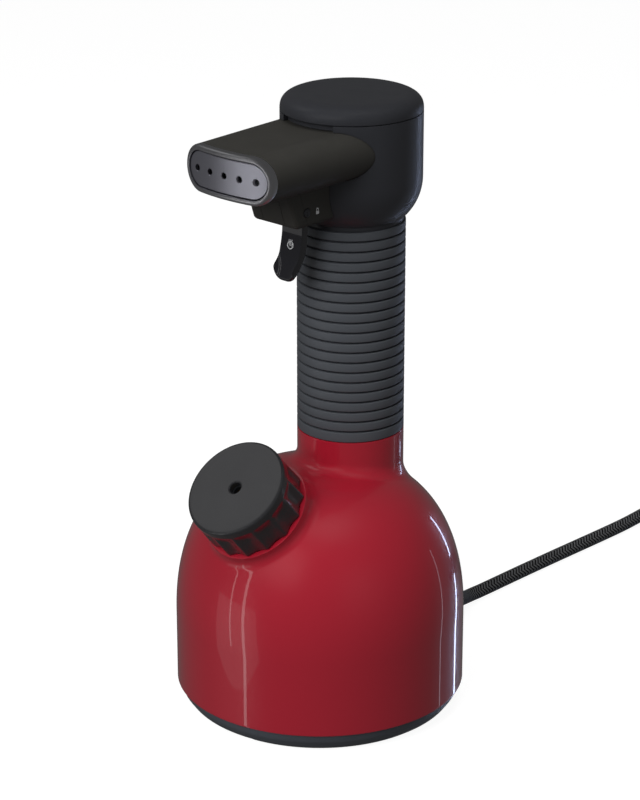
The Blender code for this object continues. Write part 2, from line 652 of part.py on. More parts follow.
def trigger_parts(gloss, matte, steel, brass, button):
    trigger = outline_solid("trigger", trigger_outline(), TRIGGER_W / 2, gloss)
    trigger.location = PIVOT
    soften(trigger, 0.0007, segments=1)
    cut(trigger, rod("trigger_bore", (-0.010, PIVOT.y, PIVOT.z), (0.010, PIVOT.y, PIVOT.z),
                     PIVOT_PIN_R + GAP, segments=20))
    rod("trigger_pivot_pin", (-0.0130, PIVOT.y, PIVOT.z), (0.0130, PIVOT.y, PIVOT.z), PIVOT_PIN_R,
        steel, segments=16)

    side = [(0.010, HOUSING_LOW), (-0.0312, HOUSING_LOW)]
    side += arc((-0.0312, HOUSING_LOW + 0.0030), 0.0030, 270.0, 196.0, 5)[1:]
    side += [(-0.0396, HOUSING_HIGH), (0.010, HOUSING_HIGH)]
    housing = outline_solid("trigger_housing", side, HOUSING_HALF_W, matte)
    soften(housing, 0.0012, segments=2)
    cut(housing, block("housing_hollow", (-0.012, -0.0316, 0.2488), (0.012, 0.020, 0.2634)))
    cut(housing, turned("head_clearance", [(0.0, LID_LOW - GAP)] + head_outer(GAP) + [(0.0, 0.2412)],
                        steps=32, ring=False, at=(0, GRIP_Y, 0)))
    cut(housing, block("trigger_slot", (-0.0068, -0.0235, 0.2450), (0.0068, -0.0138, 0.2500)))
    cut(housing, rod("housing_stem_hole", (0, VALVE_Y, 0.2620), (0, VALVE_Y, 0.2670), 0.0040))
    cut(housing, rod("pin_bore", (-0.0133, PIVOT.y, PIVOT.z), (0.0133, PIVOT.y, PIVOT.z),
                     PIVOT_PIN_R + GAP, segments=20))
    cut(housing, rod("lock_bore", (-0.020, LOCK.y, LOCK.z), (0.020, LOCK.y, LOCK.z), LOCK_R + GAP))

    rod("trigger_lock_button", (-0.0125, LOCK.y, LOCK.z), (0.0145, LOCK.y, LOCK.z), LOCK_R, button)

    lift = PIVOT.z + ARM_R + GAP
    stem = [(0.0, 0.2730), (0.0015, 0.2725), (0.0015, lift + 0.0012), (0.0032, lift + 0.0012),
            (0.0032, lift), (0.0, lift)]
    turned("valve_stem", stem, steel, steps=20, ring=False, at=(0, VALVE_Y, 0))
    low, high, turns = lift + 0.0019, VALVE_LOW - 0.0007, 3
    coil = []
    for i in range(turns * 8 + 1):
        angle = 2 * math.pi * i / 8
        coil.append((0.0025 * math.cos(angle), VALVE_Y + 0.0025 * math.sin(angle),
                     low + (high - low) * i / (turns * 8)))
    tube("valve_spring", coil, 0.00035, steel, resolution=2)

    valve = turned("steam_valve_body", [(0.0, VALVE_HIGH), (0.0070, VALVE_HIGH), (0.0070, VALVE_LOW),
                                        (0.0, VALVE_LOW)], brass, steps=20, ring=False,
                   at=(0, VALVE_Y, 0))
    cut(valve, rod("valve_ports", (0, VALVE_Y - 0.010, STEAM_LINE_Z), (0, VALVE_Y + 0.010, STEAM_LINE_Z),
                   0.0042), "UNION")
    cut(valve, rod("valve_bore", (0, VALVE_Y, 0.2680), (0, VALVE_Y, STEAM_LINE_Z), 0.0018))
    cut(valve, rod("valve_passage", (0, VALVE_Y - 0.012, STEAM_LINE_Z), (0, VALVE_Y + 0.012, STEAM_LINE_Z),
                   0.0022))


# ---------------------------------------------------------------- mains cord

def boot_rings():
    """A tapered boot that leaves the body level and bends down towards the floor."""
    rings = []
    stations = [(-0.0068, 0.0080), (-0.0038, 0.0080), (-0.0037, 0.0060), (0.0003, 0.0060),
                (0.0004, 0.0074), (0.0030, 0.0074), (0.0080, 0.0064), (0.0160, 0.0056),
                (0.0240, 0.0050), (0.0315, 0.0046)]
    for along, radius in stations:
        bend = max(0.0, along) / 0.0315
        slope = math.radians(-24.0) * bend
        centre = Vector((0.0, CORD_EXIT.y + along, CORD_EXIT.z - 0.0067 * bend ** 2))
        up = Vector((0.0, -math.sin(slope), math.cos(slope)))
        rings.append([centre + radius * (math.cos(a) * Vector((1, 0, 0)) + math.sin(a) * up)
                      for a in (2 * math.pi * i / 16 for i in range(16))])
    return rings


def cord_parts(braid, black, metal):
    loft("strain_relief", boot_rings(), black)
    tube("cord_inner_end", smooth_route([(0, 0.0599, 0.0210), (0, 0.0580, 0.0210), (0, 0.0560, 0.0209),
                                         (0, 0.0540, 0.0208)]), CORD_R, braid)
    tube("power_cord", smooth_route(CORD_ROUTE), CORD_R, braid)
    ring = [(COIL_IN, COIL_HIGH), (COIL_IN + 0.0020, COIL_HIGH), (COIL_OUT - 0.0020, COIL_HIGH),
            (COIL_OUT, COIL_HIGH - 0.0020), (COIL_OUT, COIL_LOW), (COIL_IN, COIL_LOW)]
    turned("power_cord_coil", ring, braid, steps=32, at=COIL_CENTRE)
    tube("power_cord_tail", smooth_route(TAIL_ROUTE), CORD_R, braid)

    middle = COIL_CENTRE + Vector(((COIL_IN + COIL_OUT) / 2, 0, (COIL_LOW + COIL_HIGH) / 2))
    half_r = (COIL_OUT - COIL_IN) / 2 + 0.0010
    half_z = (COIL_HIGH - COIL_LOW) / 2 + GAP
    rings = []
    for side, wall in ((-1, 0.0), (-1, 0.0009), (1, 0.0009), (1, 0.0)):
        rings.append([middle + Vector((u * (half_r + wall), side * 0.005, v * (half_z + wall)))
                      for u, v in ((1, -1), (1, 1), (-1, 1), (-1, -1))])
    loft("cord_tie", rings, black, loop=True)

    body = []
    for along, half_w, half_h in ((0.0, 0.0050, 0.0050), (0.010, 0.0066, 0.0060), (0.016, 0.0130, 0.0085),
                                  (0.024, 0.0172, 0.0104), (0.044, 0.0176, 0.0106), (0.046, 0.0168, 0.0098)):
        ring = []
        for i in range(20):
            angle = 2 * math.pi * i / 20
            c, s = math.cos(angle), math.sin(angle)
            ring.append(PLUG_AT + Vector((half_w * math.copysign(abs(c) ** 0.7, c), -along,
                                          half_h * math.copysign(abs(s) ** 0.7, s))))
        body.append(ring)
    plug = loft("plug_body", body, black)
    face = PLUG_AT.y - 0.046
    for name, side in (("plug_pin_left", -1), ("plug_pin_right", 1)):
        x = PLUG_AT.x + side * 0.0095
        cut(plug, rod(f"{name}_socket", (x, face + 0.008, PLUG_AT.z), (x, face - 0.001, PLUG_AT.z), 0.0027,
                      segments=16))
        rod(name, (x, face + 0.0075, PLUG_AT.z), (x, face - 0.019, PLUG_AT.z), 0.0024, metal, segments=16)


def carrier():
    made = bpy.data.objects.new("carrier", None)
    bpy.context.scene.collection.objects.link(made)
    made.location = (0.0, CARRIER_Y, 0.0)
    return made


def main():
    red = material("red_lacquer", (0.38, 0.012, 0.024), 0.12)
    gloss = material("gloss_black_moulding", (0.010, 0.010, 0.012), 0.10)
    satin = material("satin_black_moulding", (0.016, 0.016, 0.018), 0.32)
    matte = material("matte_black_moulding", (0.014, 0.014, 0.014), 0.55)
    grip = material("soft_grip_moulding", (0.024, 0.026, 0.030), 0.50)
    base = material("dark_grey_moulding", (0.055, 0.058, 0.065), 0.45)
    rubber = material("grey_rubber", (0.040, 0.040, 0.042), 0.80)
    silver = material("satin_metal", (0.42, 0.42, 0.44), 0.30, 0.9)
    plate = material("dark_satin_metal", (0.16, 0.16, 0.18), 0.30, 0.8)
    steel = material("stainless_steel", (0.55, 0.55, 0.55), 0.30, 1.0)
    brass = material("brass", (0.55, 0.40, 0.15), 0.30, 1.0)
    ceramic = material("white_silicone", (0.60, 0.58, 0.54), 0.60)
    braid = material("braided_cotton", (0.030, 0.030, 0.032), 0.85)
    wires = {"lead_wire_live": material("brown_wire", (0.16, 0.06, 0.03), 0.50),
             "lead_wire_neutral": material("blue_wire", (0.03, 0.08, 0.30), 0.50)}

    body_shell(red)
    base_cover(base)
    foot_pads(rubber)
    base_screws(steel)
    boiler_parts(steel, brass, base, ceramic)
    wiring(base, wires)
    cap_parts(gloss, base, rubber, brass)
    grip_parts(satin, grip)
    head_parts(satin, matte)
    nozzle_front_parts(silver, plate, base)
    trigger_parts(gloss, matte, steel, brass, satin)
    cord_parts(braid, base, silver)


clear_scene()
CARRIER = carrier()
PARTS = collection(NAME)
CUTTERS = collection("cutters")
main()
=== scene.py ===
import json
import math

import bmesh
import bpy
import numpy as np
from mathutils import Matrix, Vector

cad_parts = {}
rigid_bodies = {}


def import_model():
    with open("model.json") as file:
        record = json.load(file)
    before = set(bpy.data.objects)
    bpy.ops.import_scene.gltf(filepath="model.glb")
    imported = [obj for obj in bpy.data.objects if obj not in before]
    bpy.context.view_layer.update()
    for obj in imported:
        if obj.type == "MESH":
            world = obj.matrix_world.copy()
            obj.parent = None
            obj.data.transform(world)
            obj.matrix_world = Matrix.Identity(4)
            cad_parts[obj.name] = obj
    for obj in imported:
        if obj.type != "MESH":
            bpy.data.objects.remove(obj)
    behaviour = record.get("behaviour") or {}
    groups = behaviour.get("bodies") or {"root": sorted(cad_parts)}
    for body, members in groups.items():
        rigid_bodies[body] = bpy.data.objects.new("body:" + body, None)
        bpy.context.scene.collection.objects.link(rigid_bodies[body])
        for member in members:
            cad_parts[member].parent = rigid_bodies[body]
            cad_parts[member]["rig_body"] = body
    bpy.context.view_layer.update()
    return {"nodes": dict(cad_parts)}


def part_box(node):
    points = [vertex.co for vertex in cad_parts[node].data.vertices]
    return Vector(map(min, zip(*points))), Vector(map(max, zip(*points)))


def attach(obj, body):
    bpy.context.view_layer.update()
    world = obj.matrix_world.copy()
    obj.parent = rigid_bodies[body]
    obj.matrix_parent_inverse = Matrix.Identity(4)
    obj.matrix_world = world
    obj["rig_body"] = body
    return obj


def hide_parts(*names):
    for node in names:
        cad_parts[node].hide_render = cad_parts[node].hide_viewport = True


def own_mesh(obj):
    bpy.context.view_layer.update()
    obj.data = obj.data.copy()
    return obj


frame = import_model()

# Driving sizes, in metres, read from the frame or repeated from the part
GAP = 0.0003
BODY_LOW, BODY_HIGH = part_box("body_shell")
BODY_Y = (BODY_LOW.y + BODY_HIGH.y) / 2
BODY_R = BODY_HIGH.x
DOME_Z, DOME_H, DOME_POWERS = 0.046, 0.073, (2.9, 2.15)
NECK_FILLET, BOSS_FILLET = 0.0050, 0.0030
SLEEVE_LOW, SLEEVE_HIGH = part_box("grip_sleeve")
GRIP_Y = (SLEEVE_LOW.y + SLEEVE_HIGH.y) / 2
GRIP_R = SLEEVE_HIGH.x
GROOVES, GROOVE_FIRST, GROOVE_PITCH = 20, 0.1402, 0.00495
HEAD_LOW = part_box("head_shell")[0]
HEAD_R, HEAD_WALL, HEAD_TURN_R, HEAD_TURN_Z, HEAD_TURN_DEG = 0.03345, 0.0022, 0.0255, 0.2596, 45.3
LID_LOW, LID_TOP = 0.2915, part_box("head_lid")[1].z
NOZZLE_Z, NOZZLE_HALF_H, NOZZLE_HALF_W, NOZZLE_WIDEN = 0.2770, 0.0112, 0.0269, 0.0292
NOZZLE_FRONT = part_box("nozzle_bezel")[0].y
NOZZLE_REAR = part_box("nozzle_shell")[1].y
FACE_R = 0.090
HOLES, HOLE_PITCH, HOLE_R = 5, 0.0092, 0.0014
TRIGGER_LOW, TRIGGER_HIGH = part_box("trigger")
PIVOT = Vector((0.0, BODY_Y - 0.019, 0.2590))
LOCK = Vector((0.0, BODY_Y - 0.024, 0.2539))
CAP_TILT = math.radians(41.5)
CAP_AXIS = Vector((0.0, -math.sin(CAP_TILT), math.cos(CAP_TILT)))
CAP_SEAT = Vector((0.0, BODY_Y - 0.04485, 0.1108))
CAP_R, FLUTES = 0.0257, 15
BOSS_R = 0.0263
HOUSING_BASE, HOUSING_TOP, HOUSING_HALF_W = 0.2468, 0.2655, 0.014
VALVE_ARM, VALVE_TRAVEL, SPRING_SEAT_Z = 0.008, 0.0017, 0.2687
BOOT_LENGTH, BOOT_DROP = 0.0315, 0.0067
PIN_X = 0.0095
CORD_R = 0.0035
COIL_LOW, COIL_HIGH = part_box("power_cord_coil")
COIL_CENTRE = (COIL_LOW + COIL_HIGH) / 2


def colour(code):
    """A linear colour from an sRGB hex code such as "a02030"."""
    parts = [int(code[i:i + 2], 16) / 255 for i in (0, 2, 4)]
    return (*[c / 12.92 if c <= 0.04045 else ((c + 0.055) / 1.055) ** 2.4 for c in parts], 1.0)


# ---------------------------------------------------------------- helpers

def placed(name, data):
    """A new object in the scene."""
    made = bpy.data.objects.new(name, data)
    bpy.context.scene.collection.objects.link(made)
    return made


def baked(obj, *used):
    """The object's mesh after its modifiers; the object and the ones it used then go."""
    graph = bpy.context.evaluated_depsgraph_get()
    mesh = bpy.data.meshes.new_from_object(obj.evaluated_get(graph))
    for spent in (obj, *used):
        bpy.data.objects.remove(spent)
    return mesh


def circle(count):
    """The angles of equal steps once around."""
    return [2 * math.pi * k / count for k in range(count)]


def spun(outline, y, count):
    """A (radius, height) outline at equal steps round a vertical axis."""
    return [[Vector((r * math.cos(a), y + r * math.sin(a), z)) for r, z in outline]
            for a in circle(count)]


def stands_for(obj, slot, *nodes):
    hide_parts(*nodes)


# ---------------------------------------------------------------- camera, floor and light

LENS_MM, SENSOR_MM = 125.06, 36.0
VIEW_BEARING, VIEW_HEIGHT, VIEW_DISTANCE, VIEW_AIM_Z = 42.5, 20.83, 1.319, 0.15307


def camera():
    """A long lens from the front right, looking down on the steamer's middle."""
    data = bpy.data.cameras.new("camera")
    data.lens = LENS_MM
    data.sensor_width = SENSOR_MM
    data.clip_end = 50.0
    made = placed("camera", data)
    bearing, height = math.radians(VIEW_BEARING), math.radians(VIEW_HEIGHT)
    away = Vector((math.sin(bearing) * math.cos(height), -math.cos(bearing) * math.cos(height),
                   math.sin(height)))
    made.location = Vector((0.0, BODY_Y, VIEW_AIM_Z)) + VIEW_DISTANCE * away
    made.rotation_euler = away.to_track_quat("Z", "Y").to_euler()
    bpy.context.scene.camera = made
    return made


def softbox(name, bearing, height, distance, size, power, tint="ffffff", mirrored=True):
    """A rectangular light that faces the steamer; bearing 0 is the front, 90 is +X.

    One that isn't mirrored lights the surfaces without a reflection of itself in them.
    """
    data = bpy.data.lights.new(name, "AREA")
    data.shape = "RECTANGLE"
    data.size, data.size_y = size
    data.energy = power
    data.color = colour(tint)[:3]
    made = placed(name, data)
    turn, rise = math.radians(bearing), math.radians(height)
    away = Vector((math.sin(turn) * math.cos(rise), -math.cos(turn) * math.cos(rise), math.sin(rise)))
    made.location = Vector((0.0, 0.0, 0.15)) + distance * away
    made.rotation_euler = away.to_track_quat("Z", "Y").to_euler()
    made.visible_glossy = mirrored
    return made


def studio():
    """A bright sweep that lights nothing itself, soft fills, and strips that draw the highlights."""
    bpy.context.scene.view_settings.view_transform = "Standard"
    world = bpy.data.worlds.new("studio")
    world.use_nodes = True
    world.node_tree.nodes["Background"].inputs["Color"].default_value = colour("ffffff")
    world.node_tree.nodes["Background"].inputs["Strength"].default_value = 0.09
    bpy.context.scene.world = world
    mesh = bpy.data.meshes.new("floor")
    mesh.from_pydata([(-6, -6, -0.0002), (6, -6, -0.0002), (6, 6, -0.0002), (-6, 6, -0.0002)], [],
                     [(0, 1, 2, 3)])
    floor = placed("floor", mesh)
    sweep = material("backlit_white_sweep", "808080", 0.9, specular=0.0)
    sweep.node_tree.nodes["Principled BSDF"].inputs["Emission Color"].default_value = colour("ffffff")
    sweep.node_tree.nodes["Principled BSDF"].inputs["Emission Strength"].default_value = 0.93
    mesh.materials.append(sweep)
    floor.visible_glossy = False
    floor.visible_diffuse = False
    floor.visible_shadow = False
    lights = [
        softbox("key", 8, 32, 1.6, (0.9, 0.9), 18.5, mirrored=False),
        softbox("overhead", 60, 80, 1.6, (1.0, 1.0), 10, mirrored=False),
        softbox("side_fill", 75, 15, 1.6, (0.8, 0.8), 2.4, mirrored=False),
        softbox("front_strip", -18, 2, 1.3, (0.055, 2.2), 0.7),
        softbox("front_strip_outer", -30, 6, 1.3, (0.03, 1.6), 0.25),
        softbox("rim_strip", 178, -20, 1.3, (0.05, 1.2), 1.5, "c8d8ff"),
        softbox("rim_strip_inner", 152, -20, 1.3, (0.02, 1.2), 0.12, "e4ecff"),
        softbox("high_left", -67, 47, 1.4, (0.5, 0.5), 0.35),
        softbox("low_window", -25, -18, 1.4, (0.9, 0.6), 0.45),
    ]


# ---------------------------------------------------------------- materials

def add(tree, kind, inputs=None, **settings):
    """Adds one node: inputs maps a socket to a value or to another node's output socket."""
    made = tree.nodes.new(kind)
    for key, value in settings.items():
        setattr(made, key, value)
    for key, value in (inputs or {}).items():
        if isinstance(value, bpy.types.NodeSocket):
            tree.links.new(value, made.inputs[key])
        else:
            made.inputs[key].default_value = value
    return made


def material(name, base, roughness, metallic=0.0, specular=0.5, coat=0.0, coat_roughness=0.03):
    """A plain Principled material."""
    made = bpy.data.materials.new(name)
    made.use_nodes = True
    shader = made.node_tree.nodes["Principled BSDF"]
    shader.inputs["Base Color"].default_value = colour(base)
    shader.inputs["Roughness"].default_value = roughness
    shader.inputs["Metallic"].default_value = metallic
    shader.inputs["Specular IOR Level"].default_value = specular
    shader.inputs["Coat Weight"].default_value = coat
    shader.inputs["Coat Roughness"].default_value = coat_roughness
    return made


def grain(made, size_mm, depth_mm, detail=2.0, base=None, rough=None, stretch=(1, 1, 1)):
    """Gives a material a fine relief, and optionally breaks up its colour and its roughness."""
    tree = made.node_tree
    shader = tree.nodes["Principled BSDF"]
    place = add(tree, "ShaderNodeTexCoord")
    scaled = add(tree, "ShaderNodeMapping", {"Vector": place.outputs["Object"], "Scale": stretch})
    noise = add(tree, "ShaderNodeTexNoise", {"Vector": scaled.outputs["Vector"], "Scale": 1000 / size_mm,
                                             "Detail": detail, "Roughness": 0.6})
    bump = add(tree, "ShaderNodeBump", {"Height": noise.outputs["Fac"], "Distance": depth_mm / 1000,
                                        "Strength": 1.0})
    tree.links.new(bump.outputs["Normal"], shader.inputs["Normal"])
    if base or rough:
        broad = add(tree, "ShaderNodeTexNoise", {"Vector": place.outputs["Object"], "Scale": 90.0,
                                                 "Detail": 4.0, "Roughness": 0.65})
    if base:
        mix = add(tree, "ShaderNodeMix", {"Factor": broad.outputs["Fac"]}, data_type="RGBA")
        mix.inputs["A"].default_value = colour(base[0])
        mix.inputs["B"].default_value = colour(base[1])
        tree.links.new(mix.outputs["Result"], shader.inputs["Base Color"])
    if rough:
        spread = add(tree, "ShaderNodeMapRange", {"Value": broad.outputs["Fac"], "To Min": rough[0],
                                                  "To Max": rough[1]})
        tree.links.new(spread.outputs["Result"], shader.inputs["Roughness"])
    return made


def braid(name, dark, light, pitch_mm, columns):
    """Braided cotton over a lead: slanted pairs of strands in columns that run along the cord.

    The piece's UV map runs along the cord in metres (U) and once around it (V).
    """
    made = material(name, dark, 0.85, specular=0.25)
    tree = made.node_tree
    shader = tree.nodes["Principled BSDF"]
    place = add(tree, "ShaderNodeUVMap", uv_map="along")
    split = add(tree, "ShaderNodeSeparateXYZ", {"Vector": place.outputs["UV"]})
    around = add(tree, "ShaderNodeMath", {0: split.outputs["Y"], 1: columns}, operation="MULTIPLY")
    zigzag = add(tree, "ShaderNodeMath", {0: around.outputs["Value"], 1: 1.0}, operation="PINGPONG")
    slant = add(tree, "ShaderNodeMath", {0: zigzag.outputs["Value"], 1: 1.1}, operation="MULTIPLY")
    along = add(tree, "ShaderNodeMath", {0: split.outputs["X"], 1: 1000 / pitch_mm}, operation="MULTIPLY")
    phase = add(tree, "ShaderNodeMath", {0: along.outputs["Value"], 1: slant.outputs["Value"]})
    strand = add(tree, "ShaderNodeMath", {0: phase.outputs["Value"], 1: 0.5}, operation="PINGPONG")
    double = add(tree, "ShaderNodeMath", {0: strand.outputs["Value"], 1: 2.0}, operation="MULTIPLY")
    ramp = add(tree, "ShaderNodeValToRGB", {"Fac": double.outputs["Value"]})
    ramp.color_ramp.elements[0].position = 0.38
    ramp.color_ramp.elements[0].color = colour(dark)
    ramp.color_ramp.elements[1].position = 0.62
    ramp.color_ramp.elements[1].color = colour(light)
    tree.links.new(ramp.outputs["Color"], shader.inputs["Base Color"])
    seam = add(tree, "ShaderNodeMath", {0: zigzag.outputs["Value"], 1: 0.5}, operation="PINGPONG")
    height = add(tree, "ShaderNodeMath", {0: seam.outputs["Value"], 1: double.outputs["Value"]})
    bump = add(tree, "ShaderNodeBump", {"Height": height.outputs["Value"], "Distance": 0.0004})
    tree.links.new(bump.outputs["Normal"], shader.inputs["Normal"])
    return made


def finishes():
    """Every finish by its short name."""
    made = {
        # Lacquered ABS: an even deep red under a clear coat that mirrors the studio sharply
        "red": material("lacquered_abs_red", "a81c2e", 0.30, coat=1.0, coat_roughness=0.02),
        # Nylon with a fine spark-eroded texture: a dead matt, warm black
        "matt": grain(material("textured_nylon_black", "373633", 0.62, specular=0.35), 0.35, 0.012,
                      base=("33322f", "3b3a37")),
        # Polished-tool ABS with a light satin: soft wide highlights with a cool edge
        "satin": grain(material("satin_abs_black", "2c2d31", 0.34), 0.25, 0.004, rough=(0.33, 0.42)),
        # Soft-touch rubber over nylon: dark slate with a broad dull sheen
        "grip": grain(material("soft_touch_grip", "4c4f54", 0.46, specular=0.5), 0.30, 0.010,
                      rough=(0.44, 0.55)),
        # Moulded phenolic: glossy black face and flutes, as on a jar lid
        "gloss": grain(material("moulded_gloss_black", "28282a", 0.24, coat=0.7, coat_roughness=0.12),
                       0.6, 0.003, rough=(0.20, 0.30)),
        # Glass-smooth ABS: mirror highlights on the trigger
        "mirror": material("polished_abs_black", "18181d", 0.10, coat=1.0),
        # Vapour-blasted and plated bezel: a grey metal with a wide soft glint
        "bezel": grain(material("satin_chrome_bezel", "c4c4c8", 0.34, 1.0), 0.20, 0.004),
        # Anodised steam plate: darker, very slightly violet metal
        "plate": grain(material("anodised_steam_plate", "c8c8d4", 0.32, 1.0), 0.20, 0.004),
        # Moulded base: blue-grey polypropylene with a fine satin grain
        "base": grain(material("satin_polypropylene_grey", "4a4e55", 0.44), 0.30, 0.008,
                      base=("474b52", "50545b")),
        # Cured rubber feet and seal: matt and dusty
        "rubber": grain(material("cured_rubber", "2c2d2f", 0.85, specular=0.3), 0.40, 0.020,
                        base=("292a2c", "313234")),
        # Flexible PVC boot, tie and plug: a low sheen black
        "pvc": grain(material("flexible_pvc_black", "202123", 0.50), 0.35, 0.010, rough=(0.45, 0.58)),
        # Printed marks: pale grey ink, slightly rough
        "ink": material("pad_printed_ink", "c9cacc", 0.55),
        # Nickel-plated brass pins
        "pin": grain(material("nickel_plated_pin", "b9b4a8", 0.24, 1.0), 0.15, 0.003),
        # Drawn stainless steel of the boiler, screws, pin, stem and spring
        "steel": grain(material("drawn_stainless_steel", "b4b4b2", 0.30, 1.0), 0.25, 0.006,
                       stretch=(1, 1, 0.15)),
        # Turned brass fittings
        "brass": grain(material("turned_brass", "b08d4f", 0.30, 1.0), 0.25, 0.005, stretch=(1, 1, 6)),
        # White silicone tube and ceramic bodies
        "silicone": grain(material("white_silicone", "d8d5cd", 0.55), 0.50, 0.008,
                          base=("d2cfc6", "dcdad3")),
        "brown": material("brown_wire_pvc", "5c3a28", 0.45),
        "blue": material("blue_wire_pvc", "2c4b8f", 0.45),
        # Braided cotton, black with grey strands
        "braid": braid("braided_cotton", "0e0e0f", "6d6e70", 2.3, 8),
    }
    return made


# ---------------------------------------------------------------- shapes

def finish(name, mesh, mat, angle=35.0, body="steamer"):
    """Makes a shaded piece from a mesh whose place is in the mesh itself."""
    obj = placed(name, mesh)
    mesh.materials.clear()
    mesh.materials.append(mat)
    mesh.shade_smooth()
    mesh.set_sharp_from_angle(angle=math.radians(angle))
    obj["rides"] = body
    return obj


def skin(name, rings, loop=False, ends=True):
    """A mesh of quads between rings of equal length; loop joins the last ring to the first."""
    rings = [[Vector(p) for p in ring] for ring in rings]
    count = len(rings[0])
    points = [p for ring in rings for p in ring]
    faces = []
    spans = len(rings) if loop else len(rings) - 1
    for k in range(spans):
        a, b = k * count, (k + 1) % len(rings) * count
        faces += [(a + i, a + (i + 1) % count, b + (i + 1) % count, b + i) for i in range(count)]
    if ends and not loop:
        faces.append(tuple(range(count)))
        faces.append(tuple(reversed(range((len(rings) - 1) * count, len(rings) * count))))
    mesh = bpy.data.meshes.new(name)
    mesh.from_pydata(points, [], faces)
    return closed(mesh)


def closed(mesh):
    """Merges what touches, drops slivers and points every face outwards."""
    bm = bmesh.new()
    bm.from_mesh(mesh)
    bmesh.ops.remove_doubles(bm, verts=bm.verts, dist=0.0000005)
    bmesh.ops.dissolve_degenerate(bm, dist=0.0000005, edges=bm.edges)
    bmesh.ops.recalc_face_normals(bm, faces=bm.faces)
    bm.to_mesh(mesh)
    bm.free()
    return mesh


def rounded(corners, steps=5, loop=True):
    """A polyline through (x, y, radius) corners, with each corner turned into a curve."""
    made = []
    count = len(corners)
    for i, (x, y, radius) in enumerate(corners):
        corner = Vector((x, y))
        if not radius or (not loop and i in (0, count - 1)):
            made.append(corner)
            continue
        before = Vector(corners[i - 1][:2]) - corner
        after = Vector(corners[(i + 1) % count][:2]) - corner
        half = before.angle(after) / 2
        reach = min(radius / math.tan(half), 0.49 * before.length, 0.49 * after.length)
        start, end = corner + before.normalized() * reach, corner + after.normalized() * reach
        for k in range(steps + 1):
            t = k / steps
            made.append(start * (1 - t) ** 2 + corner * 2 * t * (1 - t) + end * t * t)
    return made


def turned(name, outline, mat, at=(0, 0, 0), tilt=0.0, steps=96, body="steamer", angle=35.0):
    """A solid of revolution from a closed (radius, height) outline."""
    place = Matrix.Translation(at) @ Matrix.Rotation(tilt, 4, "X")
    rings = []
    for k in range(steps):
        turn = 2 * math.pi * k / steps
        rings.append([place @ Vector((r * math.cos(turn), r * math.sin(turn), z)) for r, z in outline])
    return finish(name, skin(name, rings, loop=True), mat, angle, body)


def frames(points):
    """Unit directions and two cross directions along a route, carried without twist."""
    made = []
    up = Vector((0, 0, 1))
    for i, p in enumerate(points):
        ahead = (points[min(i + 1, len(points) - 1)] - points[max(i - 1, 0)]).normalized()
        side = ahead.cross(up).normalized()
        up = side.cross(ahead).normalized()
        made.append((p, side, up))
    return made


def tube(name, points, radius, mat, sides=24, uv=False, body="steamer"):
    """A closed round tube along points; radius is one value or one value for each point."""
    points = [Vector(p) for p in points]
    radii = radius if hasattr(radius, "__len__") else [radius] * len(points)
    rings = []
    for (p, side, up), r in zip(frames(points), radii):
        rings.append([p + r * (math.cos(a) * side + math.sin(a) * up)
                      for a in circle(sides)])
    mesh = skin(name, rings)
    if uv:
        wrap(mesh, points, sides)
    return finish(name, mesh, mat, body=body)


def wrap(mesh, points, sides):
    """UVs on a tube: U is the length along it in metres, V goes once around."""
    run = [0.0]
    for a, b in zip(points, points[1:]):
        run.append(run[-1] + (b - a).length)
    layer = mesh.uv_layers.new(name="along")
    for face in mesh.polygons:
        spots = [(v // sides, v % sides) for v in face.vertices]
        crossing = max(k for _, k in spots) - min(k for _, k in spots) > sides / 2
        for loop, (ring, k) in zip(face.loop_indices, spots):
            k = k + sides if crossing and k < sides / 2 else k
            layer.data[loop].uv = (run[min(ring, len(run) - 1)], k / sides)


def slab(name, outline, half, bevel, holes=(), steps=3):
    """A flat (y, z) outline widened along X to both sides, with rounded edges, less its holes."""
    rings = [[(x, y, z) for y, z in outline] for x in (-half, half)]
    return trimmed(name, skin(name, rings), bevel, holes, steps)


def trimmed(name, mesh, bevel=0.0, cutters=(), steps=3, after=0.0):
    """A mesh after its edges are rounded and its cutters are taken away."""
    obj = placed(name, mesh)
    made = []
    if bevel:
        edges = obj.modifiers.new("edges", "BEVEL")
        edges.width, edges.segments, edges.limit_method = bevel, steps, "ANGLE"
        edges.angle_limit = math.radians(38)
        edges.harden_normals = False
    for i, cutter in enumerate(cutters):
        tool = placed(f"{name}_cut_{i}", cutter)
        made.append(tool)
        change = obj.modifiers.new(tool.name, "BOOLEAN")
        change.operation, change.solver, change.object = "DIFFERENCE", "EXACT", tool
    if after:
        edges = obj.modifiers.new("cut_edges", "BEVEL")
        edges.width, edges.segments, edges.limit_method = after, 2, "ANGLE"
        edges.angle_limit = math.radians(38)
    result = baked(obj, *made)
    result.name = name
    return result


def box(low, high):
    """A plain block as a mesh, for cutting with."""
    rings = [[(x, y, z) for x, y in ((low[0], low[1]), (high[0], low[1]), (high[0], high[1]),
                                     (low[0], high[1]))] for z in (low[2], high[2])]
    return skin("block", rings)


def bar(start, end, radius, sides=48):
    """A plain round bar as a mesh, for cutting with."""
    start, end = Vector(start), Vector(end)
    turn = (end - start).to_track_quat("Z", "Y")
    ring = [Vector((radius * math.cos(a), radius * math.sin(a), 0))
            for a in circle(sides)]
    return skin("bar", [[start + turn @ p for p in ring], [end + turn @ p for p in ring]])


# ---------------------------------------------------------------- body

def dome_r(z):
    """The body's radius at a height."""
    if z <= DOME_Z:
        return BODY_R
    outer, inner = DOME_POWERS
    return BODY_R * max(0.0, 1 - ((z - DOME_Z) / DOME_H) ** inner) ** (1 / outer)


